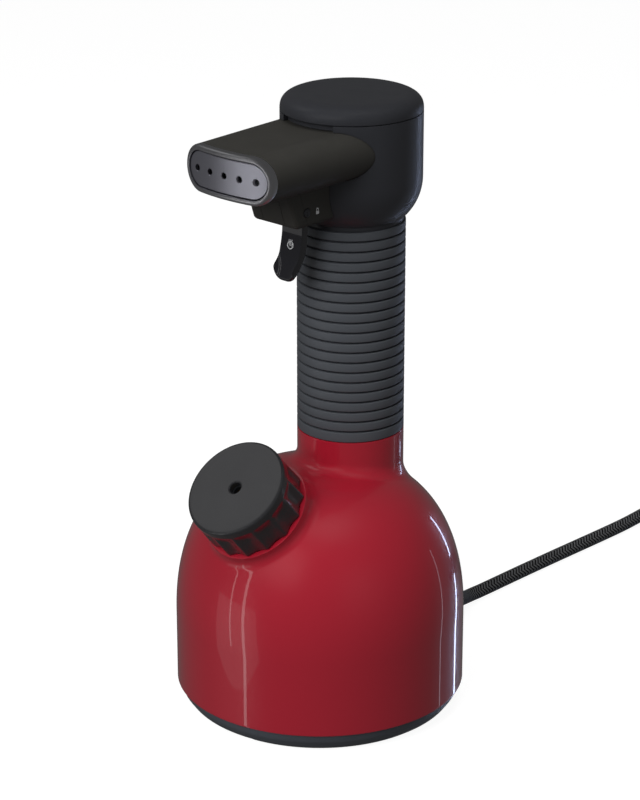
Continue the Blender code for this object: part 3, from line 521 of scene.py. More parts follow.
def body_field(p):
    """Roughly the distance outside the body's outer surface, for an array of points."""
    x, y, z = p[:, 0], p[:, 1], p[:, 2]
    outer, inner = DOME_POWERS
    reach = np.hypot(x, y - BODY_Y) / BODY_R
    rise = np.clip((z - DOME_Z) / DOME_H, 0, None)
    value = reach ** outer + rise ** inner - 1
    slope = np.hypot(outer * reach ** (outer - 1) / BODY_R, inner * rise ** (inner - 1) / DOME_H)
    dome = value / np.maximum(slope, 1.0)
    neck = np.hypot(x, y - GRIP_Y) - GRIP_R
    from_seat = p - np.array(CAP_SEAT)
    along = from_seat @ np.array(CAP_AXIS)
    across = np.linalg.norm(from_seat - along[:, None] * np.array(CAP_AXIS), axis=1)
    boss = np.maximum(across - BOSS_R, -(along + 0.045))
    return blend(blend(dome, neck, NECK_FILLET), boss, BOSS_FILLET)


def blend(a, b, radius):
    """The union of two distance fields with a round fillet where they meet."""
    inside = np.maximum(radius, np.minimum(a, b))
    return inside - np.hypot(np.maximum(radius - a, 0), np.maximum(radius - b, 0))


def settle(points, rounds=6, step=0.00002):
    """Moves points along the field's slope until they lie on the body's surface."""
    for _ in range(rounds):
        slope = np.stack([(body_field(points + d) - body_field(points - d)) / (2 * step)
                          for d in np.eye(3) * step], axis=1)
        square = np.maximum((slope ** 2).sum(axis=1), 0.2)
        points = points - (body_field(points) / square)[:, None] * slope
    return points


def body_shell(red):
    """Wall, dome, neck and filler boss as one lacquered skin, 2.5 mm thick."""
    heights = [-0.006 + 0.052 * k / 8 for k in range(9)]
    heights += [DOME_Z + DOME_H * math.sin(math.pi / 2 * k / 16) for k in range(1, 17)]
    rings = [[(max(dome_r(z), 0.0005) * math.cos(a), BODY_Y + max(dome_r(z), 0.0005) * math.sin(a), z)
              for a in circle(96)] for z in heights]
    parts = [skin("dome", rings), bar((0, GRIP_Y, 0.06), (0, GRIP_Y, 0.141), GRIP_R, 96),
             bar(CAP_SEAT - 0.04 * CAP_AXIS, CAP_SEAT + 0.004 * CAP_AXIS, BOSS_R, 96)]
    bm = bmesh.new()
    for part in parts:
        bm.from_mesh(part)
    mesh = bpy.data.meshes.new("body_blank")
    bm.to_mesh(mesh)
    bm.free()
    obj = placed("body_blank", mesh)
    remesh = obj.modifiers.new("even", "REMESH")
    remesh.mode, remesh.voxel_size = "VOXEL", 0.0012
    even = baked(obj)
    places = np.empty(len(even.vertices) * 3)
    even.vertices.foreach_get("co", places)
    even.vertices.foreach_set("co", settle(places.reshape(-1, 3)).ravel())
    bm = bmesh.new()
    bm.from_mesh(even)
    cuts = [((0, 0, BODY_LOW.z), (0, 0, -1)), ((0, 0, SLEEVE_LOW.z - GAP), (0, 0, 1)),
            (tuple(CAP_SEAT - GAP * CAP_AXIS), tuple(CAP_AXIS))]
    for point, normal in cuts:
        every = bm.verts[:] + bm.edges[:] + bm.faces[:]
        bmesh.ops.bisect_plane(bm, geom=every, plane_co=point, plane_no=normal, clear_outer=True)
    bmesh.ops.remove_doubles(bm, verts=bm.verts, dist=0.0001)
    bmesh.ops.recalc_face_normals(bm, faces=bm.faces)
    if sum(f.normal.dot(f.calc_center_median() - Vector((0, BODY_Y, 0.05))) for f in bm.faces) < 0:
        bmesh.ops.reverse_faces(bm, faces=bm.faces)
    bm.to_mesh(even)
    bm.free()
    obj = placed("body_skin", even)
    wall = obj.modifiers.new("wall", "SOLIDIFY")
    wall.thickness, wall.offset = 0.0025, -1.0
    lip = obj.modifiers.new("lip", "BEVEL")
    lip.width, lip.segments, lip.limit_method = 0.0005, 3, "ANGLE"
    lip.angle_limit = math.radians(50)
    mesh = baked(obj)
    made = finish("body_lacquered_shell", mesh, red, 50.0)
    stands_for(made, "red_lacquer", "body_shell")


def bearing(degrees, radius, z):
    """A point about the body's axis; bearing 0 is the front, 90 is +X."""
    angle = math.radians(degrees)
    return Vector((radius * math.sin(angle), BODY_Y - radius * math.cos(angle), z))


def base(grey, rubber, steel):
    """The foot ring with its notches, three rubber pads and three screws."""
    outline = rounded([(0.0640, 0.0150, 0.0008), (0.0669, 0.0150, 0.0008), (0.0669, 0.0103, 0.0),
                       (0.0690, 0.0103, 0.0006), (0.0676, 0.0062, 0.004), (0.0649, 0.0024, 0.004),
                       (0.0619, 0.0003, 0.0010), (0.0550, 0.0003, 0.0010), (0.0550, 0.0030, 0.0006),
                       (0.0005, 0.0030, 0.0), (0.0005, 0.0055, 0.0), (0.0620, 0.0055, 0.0005)], 4)
    cutters = []
    half = 0.062 * math.sin(math.radians(12.5))
    for degrees in (0, 114, 246):
        notch = box((-half, -0.080, -0.002), (half, -0.0535, 0.0018))
        notch.transform(Matrix.Translation((0, BODY_Y, 0)) @ Matrix.Rotation(math.radians(degrees), 4, "Z"))
        cutters.append(notch)
    groove = ((0.0560, 0.0018), (0.0606, 0.0018), (0.0606, -0.002), (0.0560, -0.002))
    cutters.append(skin("groove", spun(groove, BODY_Y, 120), loop=True))
    for degrees in (0, 120, 240):
        cutters.append(bar(bearing(degrees, 0.0515, -0.001), bearing(degrees, 0.0515, 0.0045), 0.0036))
    mesh = trimmed("base_moulding", skin("base", spun(outline, BODY_Y, 180), loop=True), cutters=cutters)
    made = finish("base_moulding", mesh, grey, 30.0)
    stands_for(made, "dark_grey_moulding", "base_cover")

    for name, (start, end) in {"foot_pad_right": (16, 98), "foot_pad_left": (262, 344),
                               "foot_pad_rear": (130, 230)}.items():
        section = rounded([(0.0563, 0.0, 0.0005), (0.0603, 0.0, 0.0005), (0.0603, 0.0015, 0.0),
                           (0.0563, 0.0015, 0.0)], 3)
        rings = [[bearing(start + (end - start) * k / 48, r, z) for r, z in section] for k in range(49)]
        pad = finish(name + "_moulded", skin(name, rings), rubber)
        stands_for(pad, "grey_rubber", name)

    for index, degrees in enumerate((0, 120, 240)):
        at = bearing(degrees, 0.0515, 0.0)
        head = rounded([(0.0002, 0.0290, 0.0), (0.0015, 0.0285, 0.0), (0.0015, 0.0027, 0.0),
                        (0.0030, 0.0027, 0.0003), (0.0027, 0.0013, 0.0008), (0.0002, 0.0012, 0.0)], 3)
        rings = [[at + Vector((r * math.cos(a), r * math.sin(a), z)) for r, z in head]
                 for a in circle(40)]
        cross = [box(at + Vector((-0.0017, -0.0003, 0.0)), at + Vector((0.0017, 0.0003, 0.0021))),
                 box(at + Vector((-0.0003, -0.0017, 0.0)), at + Vector((0.0003, 0.0017, 0.0021)))]
        mesh = trimmed("screw", skin("screw", rings, loop=True), cutters=cross)
        screw = finish(f"base_screw_{index + 1}_cross_head", mesh, steel)
        stands_for(screw, "stainless_steel", f"base_screw_{index + 1}")


# ---------------------------------------------------------------- filler cap

def cap_point(radius, angle, height):
    """A point in the filler cap's own cylinder coordinates."""
    side, up = Vector((1, 0, 0)), CAP_AXIS.cross(Vector((1, 0, 0)))
    return CAP_SEAT + height * CAP_AXIS + radius * (math.cos(angle) * side + math.sin(angle) * up)


def flute_depth(height):
    """How deep the cap's flutes are at a height: full up the wall, ending in an arch."""
    return 0.0017 * math.sqrt(max(0.0, 1 - max(0.0, (height - 0.0105) / 0.0050) ** 2))


def cap(gloss, brass):
    """A jar-lid grip: scalloped flutes between round ridges, under a plain rounded top edge."""
    outline = rounded([(0.0030, 0.0199, 0.0), (0.0036, 0.0203, 0.0003), (0.0223, 0.0203, 0.0),
                       (0.0251, 0.0203, 0.0034), (0.0252, 0.0150, 0.0), (0.0255, 0.0090, 0.0),
                       (CAP_R, 0.0016, 0.0), (CAP_R, 0.0, 0.0008), (0.0234, 0.0, 0.0004),
                       (0.0230, 0.0172, 0.001), (0.0030, 0.0172, 0.0)], 7)
    wall = [(r, z) for r, z in outline]
    fine = []
    for (r0, z0), (r1, z1) in zip(wall, wall[1:] + wall[:1]):
        count = max(1, int(abs(z1 - z0) / 0.0007)) if min(r0, r1) > 0.0245 else 1
        fine += [(r0 + (r1 - r0) * k / count, z0 + (z1 - z0) * k / count) for k in range(count)]
    rings = []
    per = 20
    for k in range(FLUTES * per):
        turn = 2 * math.pi * (k / per + 0.375) / FLUTES
        swing = 0.5 - 0.5 * math.cos(2 * math.pi * k / per)
        shape = swing ** 0.62
        ring = []
        for r, z in fine:
            depth = flute_depth(z) * shape if r > 0.0240 else 0.0
            ring.append(cap_point(r - depth, turn, z))
        rings.append(ring)
    made = finish("filler_cap_fluted", skin("cap", rings, loop=True), gloss, 45.0, "filler_cap")
    stands_for(made, "gloss_black_moulding", "cap_knob")
    outline = rounded([(0.0002, 0.0158, 0.0), (0.0016, 0.0158, 0.0004), (0.0021, 0.0152, 0.0003),
                       (0.0021, 0.0126, 0.0), (0.0040, 0.0126, 0.0003), (0.0040, -0.0074, 0.0003),
                       (0.0002, -0.0074, 0.0)], 3)
    valve = turned("relief_valve_turned", outline, brass, CAP_SEAT, CAP_TILT, 48, "filler_cap")
    stands_for(valve, "brass", "pressure_relief_valve")


# ---------------------------------------------------------------- grip

def ring_stack():
    """A node tree that stacks equal rounded rings along Z: the bands of the grip."""
    tree = bpy.data.node_groups.new("ring_stack", "GeometryNodeTree")
    face = tree.interface
    face.new_socket("Geometry", in_out="INPUT", socket_type="NodeSocketGeometry")
    for name, kind in (("Count", "NodeSocketInt"), ("Pitch", "NodeSocketFloat"),
                       ("Radius", "NodeSocketFloat"), ("Width", "NodeSocketFloat"),
                       ("Depth", "NodeSocketFloat"), ("Edge", "NodeSocketFloat"),
                       ("Start", "NodeSocketVector"), ("Finish", "NodeSocketMaterial")):
        face.new_socket(name, in_out="INPUT", socket_type=kind)
    face.new_socket("Geometry", in_out="OUTPUT", socket_type="NodeSocketGeometry")
    given = tree.nodes.new("NodeGroupInput").outputs
    step = add(tree, "ShaderNodeCombineXYZ", {"Z": given["Pitch"]})
    line = add(tree, "GeometryNodeMeshLine", {"Count": given["Count"], "Offset": step.outputs["Vector"],
                                              "Start Location": given["Start"]})
    path = add(tree, "GeometryNodeCurvePrimitiveCircle", {"Resolution": 120, "Radius": given["Radius"]})
    profile = add(tree, "GeometryNodeCurvePrimitiveQuadrilateral", {"Width": given["Depth"],
                                                                    "Height": given["Width"]})
    soft = add(tree, "GeometryNodeFilletCurve", {"Curve": profile.outputs["Curve"], "Count": 3,
                                                 "Radius": given["Edge"]}, mode="POLY")
    ring = add(tree, "GeometryNodeCurveToMesh", {"Curve": path.outputs["Curve"],
                                                 "Profile Curve": soft.outputs["Curve"]})
    copies = add(tree, "GeometryNodeInstanceOnPoints", {"Points": line.outputs["Mesh"],
                                                        "Instance": ring.outputs["Mesh"]})
    real = add(tree, "GeometryNodeRealizeInstances", {"Geometry": copies.outputs["Instances"]})
    painted = add(tree, "GeometryNodeSetMaterial", {"Geometry": real.outputs["Geometry"],
                                                    "Material": given["Finish"]})
    out = tree.nodes.new("NodeGroupOutput")
    tree.links.new(painted.outputs["Geometry"], out.inputs["Geometry"])
    return tree


def grown(name, tree, values):
    """The mesh that a node tree makes from the given input values."""
    mesh = bpy.data.meshes.new(name)
    mesh.from_pydata([(0, 0, 0)], [], [])
    obj = placed(name, mesh)
    modifier = obj.modifiers.new(name, "NODES")
    modifier.node_group = tree
    for socket in tree.interface.items_tree:
        if socket.in_out == "INPUT" and socket.name in values:
            modifier[socket.identifier] = values[socket.name]
    return closed(baked(obj))


def grip(rubber, satin):
    """Soft-touch bands with thin grooves between them, over a darker tube with a collar."""
    groove = 0.0009
    values = {"Count": GROOVES - 1, "Pitch": GROOVE_PITCH, "Radius": GRIP_R - 0.0012,
              "Width": GROOVE_PITCH - groove, "Depth": 0.0024, "Edge": 0.00045,
              "Start": (0, GRIP_Y, GROOVE_FIRST + GROOVE_PITCH / 2), "Finish": rubber}
    bands = finish("grip_bands", grown("grip_bands", ring_stack(), values), rubber, 50.0)
    stands_for(bands, "soft_grip_moulding", "grip_sleeve")
    last = GROOVE_FIRST + (GROOVES - 1) * GROOVE_PITCH
    for name, low, high in (("grip_lower_band", SLEEVE_LOW.z, GROOVE_FIRST - groove / 2),
                            ("grip_upper_band", last + groove / 2, SLEEVE_HIGH.z)):
        outline = rounded([(GRIP_R - 0.0024, low, 0.0), (GRIP_R, low, 0.00045), (GRIP_R, high, 0.00045),
                           (GRIP_R - 0.0024, high, 0.0)], 3)
        end = turned(name, outline, rubber, (0, GRIP_Y, 0), steps=120, angle=50.0)
    core = rounded([(0.0205, 0.1210, 0.0), (0.0228, 0.1210, 0.0), (0.0228, 0.1352, 0.0),
                    (GRIP_R - 0.0013, 0.1352, 0.0), (GRIP_R - 0.0013, SLEEVE_HIGH.z - 0.0006, 0.0),
                    (0.0249, SLEEVE_HIGH.z + GAP, 0.0), (0.0249, 0.2412, 0.0002), (0.0229, 0.2412, 0.0),
                    (0.0229, 0.2520, 0.0), (0.0205, 0.2520, 0.0)], 2)
    tube_piece = turned("grip_core_tube", core, satin, (0, GRIP_Y, 0), steps=96)
    stands_for(tube_piece, "satin_black_moulding", "grip_core")


# ---------------------------------------------------------------- head

def pill(half_width, half_height, y, count=20, bow=True):
    """A pill outline about the nozzle's axis; bow follows the front face's curve."""
    straight = half_width - half_height
    points = []
    for side, start in ((1, -90), (-1, 90)):
        for k in range(count + 1):
            a = math.radians(start + 180 * k / count)
            points.append((side * straight + half_height * math.cos(a), half_height * math.sin(a)))
        points += [(side * straight * (1 - k / 7), side * half_height) for k in range(1, 14)]
    return [Vector((x, y + (x * x / (2 * FACE_R) if bow else 0.0), NOZZLE_Z + z)) for x, z in points]


def nozzle_half_width(y):
    """The nozzle widens evenly from its front to the head."""
    return NOZZLE_HALF_W + NOZZLE_WIDEN * (y - NOZZLE_FRONT)


def nozzle_rings(start, rear, inset=0.0, steps=10):
    """Rings down the nozzle; the first follows the bowed face, and the bow fades along it."""
    rings = []
    for k in range(steps + 1):
        t = k / steps
        y = start + (rear - start) * t
        fade = max(0.0, 1 - 2.5 * t)
        ring = []
        for p in pill(nozzle_half_width(y) - inset, NOZZLE_HALF_H - inset, y, bow=False):
            ring.append(Vector((p.x, p.y + fade * p.x * p.x / (2 * FACE_R), p.z)))
        rings.append(ring)
    return rings


def head_outline(extra=0.0):
    """The head's outer side from the top edge down to its foot."""
    centre = (HEAD_R - HEAD_TURN_R, HEAD_TURN_Z)
    radius = HEAD_TURN_R + extra
    return [(centre[0] + radius * math.cos(a), centre[1] + radius * math.sin(a))
            for a in (math.radians(-HEAD_TURN_DEG * k / 14) for k in range(15))]


def head(satin):
    """The head's round wall, open on top, with the nozzle's opening and the trigger's window."""
    inner = [(r - HEAD_WALL, z + 0.0006) for r, z in reversed(head_outline()) if z > 0.2450]
    top = LID_LOW - 0.00025
    outline = rounded([(HEAD_R - HEAD_WALL, top, 0.0), (HEAD_R, top, 0.0004),
                       (HEAD_R, HEAD_TURN_Z, 0.0)], 3, loop=False)
    outline += [*head_outline()[1:], (0.0233, HEAD_LOW.z), (0.0233, 0.2434), *inner]
    rings = spun(outline, GRIP_Y, 160)
    opening = skin("opening", nozzle_rings(BODY_Y - 0.042, NOZZLE_REAR + 0.0006, inset=-0.00025, steps=4))
    cutters = [opening, box((-0.0154, BODY_Y - 0.027, 0.2800), (0.0154, BODY_Y + 0.007, 0.2930)),
               box((-0.0078, BODY_Y - 0.027, 0.2480), (0.0078, BODY_Y + 0.007, 0.2680))]
    mesh = trimmed("head_moulding", skin("head", rings, loop=True), cutters=cutters)
    made = finish("head_moulding", mesh, satin, 30.0)
    stands_for(made, "satin_black_moulding", "head_shell")


def lid(satin):
    """A flat cap with a generous rounded edge that ends at a fine parting line."""
    corner = [(0.0224 + 0.01105 * math.cos(a) ** 0.75, LID_LOW + 0.0079 * math.sin(a) ** 0.75)
              for a in (math.pi / 2 * (1 - k / 18) for k in range(19))]
    outline = [(0.0002, LID_TOP), (0.0120, LID_TOP - 0.0001), *corner[:-1], (HEAD_R, LID_LOW + 0.0003),
               (HEAD_R - 0.0003, LID_LOW), (0.0309, LID_LOW), (0.0309, 0.2886), (0.0290, 0.2886),
               (0.0290, 0.2945), (0.0200, 0.2972), (0.0002, 0.2975)]
    made = turned("head_lid_moulding", outline, satin, (0, GRIP_Y, 0), steps=160, angle=40.0)
    stands_for(made, "satin_black_moulding", "head_lid")


def nozzle(matt, chrome, anodised, dark):
    """The nozzle, its plated bezel, the drilled steam plate and the seat behind it."""
    start = NOZZLE_FRONT + 0.0034
    outer = nozzle_rings(start, NOZZLE_REAR)
    inner = nozzle_rings(start, NOZZLE_REAR, inset=0.0020)
    mesh = skin("nozzle", outer + list(reversed(inner)), loop=True)
    stem = bar((0, PIVOT.y + VALVE_ARM, 0.2630), (0, PIVOT.y + VALVE_ARM, 0.2700), 0.0040)
    mesh = trimmed("nozzle_moulding", mesh, cutters=[stem])
    made = finish("nozzle_moulding", mesh, matt, 40.0)
    stands_for(made, "matte_black_moulding", "nozzle_shell")

    half_w = nozzle_half_width(NOZZLE_FRONT + 0.0032)
    steps = [(0.0, 0.0032), (0.0, 0.0019), (0.0001, 0.0012), (0.0004, 0.0006), (0.0009, 0.0002),
             (0.0015, 0.0), (0.0021, 0.0), (0.00255, 0.0002), (0.0027, 0.0006), (0.0027, 0.0032)]
    rings = [pill(half_w - inset, NOZZLE_HALF_H - inset, NOZZLE_FRONT + back) for inset, back in steps]
    bezel = finish("nozzle_bezel_plated", skin("bezel", rings, loop=True), chrome, 40.0)
    stands_for(bezel, "satin_metal", "nozzle_bezel")

    plate_w, plate_h, front = 0.0238, 0.0081, NOZZLE_FRONT + 0.0008
    straight, drills, rings = plate_w - plate_h, [], []
    for k in range(65):
        x = plate_w * math.sin(math.pi * (k / 64 - 0.5)) * 0.9998
        high = math.sqrt(plate_h ** 2 - max(0.0, abs(x) - straight) ** 2)
        y, edge = front + x * x / (2 * FACE_R), min(0.0003, high / 2)
        section = [(0.0015, -high), (0.0002, -high), (0.0, edge - high), (0.0, high - edge), (0.0002, high),
                   (0.0015, high)]
        rings.append([Vector((x, y + back, NOZZLE_Z + z)) for back, z in section])
    for k in range(HOLES):
        x = (k - (HOLES - 1) / 2) * HOLE_PITCH
        y = front + x * x / (2 * FACE_R)
        drills.append(skin("drill", [[Vector((x + r * math.cos(a), y + back, NOZZLE_Z + r * math.sin(a)))
                                      for a in circle(32)]
                                     for back, r in ((-0.0006, HOLE_R + 0.0009), (0.0003, HOLE_R),
                                                     (0.0090, HOLE_R))]))
    mesh = trimmed("steam_plate_drilled", skin("plate", rings), cutters=drills)
    plate = finish("steam_plate_drilled", mesh, anodised, 20.0)
    stands_for(plate, "dark_satin_metal", "steam_plate")
    ledge = [pill(plate_w + 0.0005, plate_h + 0.0005, NOZZLE_FRONT + back) for back in (0.0024, 0.0031)]
    seat = finish("steam_plate_seat", skin("seat", ledge), dark)


# ---------------------------------------------------------------- trigger and its housing

def about_pivot(points):
    """Points given from the trigger's pivot, in the row frame."""
    return [(PIVOT.y + y, PIVOT.z + z) for y, z in points]


def smooth_line(points, per_span=6):
    """A smooth curve through points, as a list of vectors of the same size."""
    ends = [2 * Vector(points[0]) - Vector(points[1]), *map(Vector, points),
            2 * Vector(points[-1]) - Vector(points[-2])]
    made = []
    for i in range(1, len(ends) - 2):
        a, b, c, d = ends[i - 1:i + 3]
        for k in range(per_span):
            t = k / per_span
            made.append(0.5 * (2 * b + (c - a) * t + (2 * a - 5 * b + 4 * c - d) * t * t
                               + (3 * b - a - 3 * c + d) * t ** 3))
    made.append(Vector(points[-1]))
    return made


def trigger(mirror, ink, steel):
    """A curved blade: a flat front with rounded long edges and a round tip, on a pivot eye."""
    front = smooth_line([(-0.0034, -0.0020), (-0.0016, -0.0080), (-0.0002, -0.0130), (0.0, -0.0170),
                         (-0.0004, -0.0210), (-0.0012, -0.0250), (-0.0024, -0.0300), (-0.0039, -0.0342),
                         (-0.0056, -0.0376)], 4)
    tip = smooth_line([(-0.0056, -0.0376), (-0.0061, -0.0391), (-0.0055, -0.0403), (-0.0042, -0.0406),
                       (-0.0029, -0.0398)], 4)[1:]
    back = smooth_line([(-0.0029, -0.0398), (-0.0010, -0.0374), (0.0006, -0.0338), (0.0019, -0.0300),
                        (0.0030, -0.0250), (0.0037, -0.0200), (0.0040, -0.0150), (0.0040, -0.0060),
                        (0.0046, -0.0030), (0.0060, -0.0015)], 4)[1:]
    arm = [(0.008 + 0.0015 * math.cos(a), 0.0015 * math.sin(a))
           for a in (math.radians(-90 + 180 * k / 10) for k in range(11))] + [(0.0050, 0.0015)]
    boss = [(0.0038 * math.cos(a), 0.0038 * math.sin(a))
            for a in (math.radians(30 + 150 * k / 12) for k in range(13))]
    outline = about_pivot([tuple(p) for p in front + tip + back + arm + boss])
    pin = bar((-0.010, PIVOT.y, PIVOT.z), (0.010, PIVOT.y, PIVOT.z), 0.0015)
    half, corner, end = (TRIGGER_HIGH.x - TRIGGER_LOW.x) / 2, 0.0048, PIVOT.z - 0.0406
    rings = []
    for k in range(41):
        x = half * math.sin(math.pi * (k / 40 - 0.5))
        lift = corner - math.sqrt(corner ** 2 - max(0.0, abs(x) - (half - corner)) ** 2)
        rings.append([(x, y, z + lift * smoothstep(1 - (z - end) / 0.014)) for y, z in outline])
    mesh = trimmed("trigger", skin("trigger", rings), 0.0018, [pin], 6)
    made = finish("trigger_blade", mesh, mirror, 50.0, "trigger")
    stands_for(made, "gloss_black_moulding", "trigger")
    centre = Vector((0.0, PIVOT.y - 0.00096, PIVOT.z - 0.0235))
    mark = steam_mark(centre, 0.0021, math.radians(-11))
    printed = finish("trigger_steam_mark", mark, ink, body="trigger")
    axle = turned("trigger_pivot_pin_turned", rounded([(0.0001, -0.0130, 0.0), (0.0012, -0.0130, 0.0003),
                                                       (0.0012, 0.0130, 0.0003), (0.0001, 0.0130, 0.0)], 3),
                  steel, (0, 0, 0), steps=32)
    axle.data.transform(Matrix.Translation(PIVOT) @ Matrix.Rotation(math.pi / 2, 4, "Y"))
    stands_for(axle, "stainless_steel", "trigger_pivot_pin")


def ribbon(points, width, closed_line=False):
    """A flat strip along (x, z) points, as a pair of edge lines."""
    left, right = [], []
    count = len(points)
    for i, p in enumerate(points):
        a = points[(i - 1) % count if closed_line else max(i - 1, 0)]
        b = points[(i + 1) % count if closed_line else min(i + 1, count - 1)]
        ahead = (Vector(b) - Vector(a)).normalized()
        across = Vector((-ahead.y, ahead.x)) * width / 2
        left.append(Vector(p) + across)
        right.append(Vector(p) - across)
    return left, right


def stamp(name, strips, place, depth):
    """Thin raised ink: every strip of (x, z) points made a solid, then put in its place."""
    bm = bmesh.new()
    for points, width, loop in strips:
        left, right = ribbon(points, width, loop)
        rings = [[place @ Vector((q.x, -d * depth, q.y)) for q, d in ((a, 0), (a, 1), (b, 1), (b, 0))]
                 for a, b in zip(left, right)]
        bm.from_mesh(skin("strip", rings, loop=loop))
    mesh = bpy.data.meshes.new(name)
    bm.to_mesh(mesh)
    bm.free()
    return mesh


def ring_points(radius, centre=(0, 0), count=32, start=0, end=360):
    """Points on an arc, its end left out."""
    return [(centre[0] + radius * math.cos(a), centre[1] + radius * math.sin(a))
            for a in (math.radians(start + (end - start) * k / count) for k in range(count))]


def steam_mark(centre, size, lean):
    """A plain sign for steam: a ring with three wavy lines rising from it."""
    strips = [(ring_points(size * 0.80, (0, -size * 0.35), end=360), size * 0.20, True)]
    for x in (-0.42, 0.0, 0.42):
        wave = [(size * (x + 0.12 * math.sin(5.5 * t)), size * (-0.55 + 1.45 * t))
                for t in (k / 10 for k in range(11))]
        strips.append((wave, size * 0.16, False))
    place = Matrix.Translation(centre) @ Matrix.Rotation(lean, 4, "X")
    return stamp("steam_mark", strips, place, 0.00006)


def lock_mark(centre, size):
    """A plain padlock: a solid body under an open shackle, on the housing's +X side."""
    body = [(size * x, -0.35 * size) for x in (-0.55, 0.55)]
    shackle = [(-0.36 * size, 0.1 * size)] + [
        (0.36 * size * math.cos(a), size * (0.45 + 0.36 * math.sin(a)))
        for a in (math.radians(180 - 180 * k / 10) for k in range(11))] + [(0.36 * size, 0.25 * size)]
    place = Matrix.Translation(centre) @ Matrix.Rotation(math.pi / 2, 4, "Z")
    return stamp("lock_mark", [(body, 0.9 * size, False), (shackle, 0.20 * size, False)], place, 0.00006)


def housing(matt, satin, ink):
    """A box under the nozzle with a leaning front, a centre panel between two fine cut seams and a slot
    below.
    """
    low, high = HOUSING_BASE, HOUSING_TOP
    y = BODY_Y
    front = [(0.016, low), (-0.0282, low)]
    front += [(-0.0282 + 0.0030 * math.cos(a), low + 0.0030 + 0.0030 * math.sin(a))
              for a in (math.radians(270 - 74 * k / 8) for k in range(1, 9))]
    front += [(-0.0366, high), (0.016, high)]
    outline = [(y + a, z) for a, z in front]
    clear = [(0.0002, LID_LOW)] + [(HEAD_R + GAP, LID_LOW)] + head_outline(GAP) + [(0.0002, 0.2412)]
    rings = spun(clear, GRIP_Y, 128)
    cutters = [skin("head_clearance", rings, loop=True),
               box((-0.012, y - 0.0286, 0.2488), (0.012, y + 0.023, 0.2634)),
               box((-0.0068, y - 0.0205, 0.2450), (0.0068, y - 0.0108, 0.2500)),
               bar((0, PIVOT.y + VALVE_ARM, 0.2620), (0, PIVOT.y + VALVE_ARM, 0.2670), 0.0040),
               bar((-0.020, LOCK.y, LOCK.z), (0.020, LOCK.y, LOCK.z), 0.0023)]
    for x in (-0.0066, 0.0066):
        cutters.append(box((x - 0.00012, y - 0.045, low - 0.002), (x + 0.00012, y - 0.0284, high + 0.002)))
    for side in (-1, 1):
        line = box((-0.00012, -0.00025, -0.02), (0.00012, 0.00025, 0.02))
        line.transform(Matrix.Translation((side * HOUSING_HALF_W, y - 0.0262, 0.256))
                       @ Matrix.Rotation(0.32, 4, "X"))
        cutters.append(line)
    mesh = slab("housing", outline, HOUSING_HALF_W, 0.0022, cutters, 5)
    made = finish("trigger_housing_moulding", mesh, matt, 30.0)
    stands_for(made, "matte_black_moulding", "trigger_housing")
    face = rounded([(0.0001, -0.0125, 0.0), (0.0020, -0.0125, 0.0004), (0.0020, 0.0145, 0.0006),
                    (0.0012, 0.0145, 0.0), (0.0008, 0.0142, 0.0), (0.0001, 0.0142, 0.0)], 4)
    button = turned("trigger_lock_pin", face, satin, (0, 0, 0), steps=48, body="trigger_lock")
    button.data.transform(Matrix.Translation(LOCK) @ Matrix.Rotation(math.pi / 2, 4, "Y"))
    stands_for(button, "satin_black_moulding", "trigger_lock_button")
    mark = finish("lock_mark_printed", lock_mark(Vector((0.01401, BODY_Y - 0.0170, 0.2533)), 0.0017), ink)


# ---------------------------------------------------------------- cord, boot, tie and plug

def boot_point(along):
    """The boot's middle at a distance along it, and the direction across it."""
    bend = max(0.0, along) / BOOT_LENGTH
    slope = math.radians(-24) * bend
    centre = Vector((0.0, BODY_Y + 0.070 + along, 0.0210 - BOOT_DROP * bend * bend))
    return centre, Vector((0, -math.sin(slope), math.cos(slope)))


def boot(pvc):
    """The cord's bend guard: a collar in the wall and a tapered sleeve with shallow ribs."""
    outer = [(-0.0068, 0.0076), (-0.0064, 0.0080), (-0.0042, 0.0080), (-0.0038, 0.0077), (-0.0037, 0.0060),
             (0.0003, 0.0060), (0.0004, 0.0071), (0.0007, 0.0074), (0.0027, 0.0074), (0.0030, 0.0071)]
    for k in range(8):
        start = 0.0036 + k * 0.0034
        radius = 0.0071 - 0.0030 * (start / BOOT_LENGTH) ** 0.8
        outer += [(start, radius - 0.0006), (start + 0.0006, radius - 0.0006), (start + 0.0010, radius),
                  (start + 0.0023, radius - 0.0001), (start + 0.0028, radius - 0.0006)]
    outer += [(BOOT_LENGTH - 0.0006, 0.0046), (BOOT_LENGTH, 0.0043)]
    bore = [(BOOT_LENGTH, 0.0038), (0.0160, 0.0038), (0.0060, 0.0038), (0.0, 0.0038), (-0.0068, 0.0038)]
    rings = []
    for along, r in outer + bore:
        centre, up = boot_point(along)
        rings.append([centre + r * (math.cos(a) * Vector((1, 0, 0)) + math.sin(a) * up)
                      for a in circle(48)])
    made = finish("cord_boot_ribbed", skin("boot", rings, loop=True), pvc, 40.0)
    stands_for(made, "dark_grey_moulding", "strain_relief")
    return made


def smoothstep(t):
    """A ramp from 0 to 1 that starts and ends level."""
    t = min(max(t, 0.0), 1.0)
    return t * t * (3 - 2 * t)


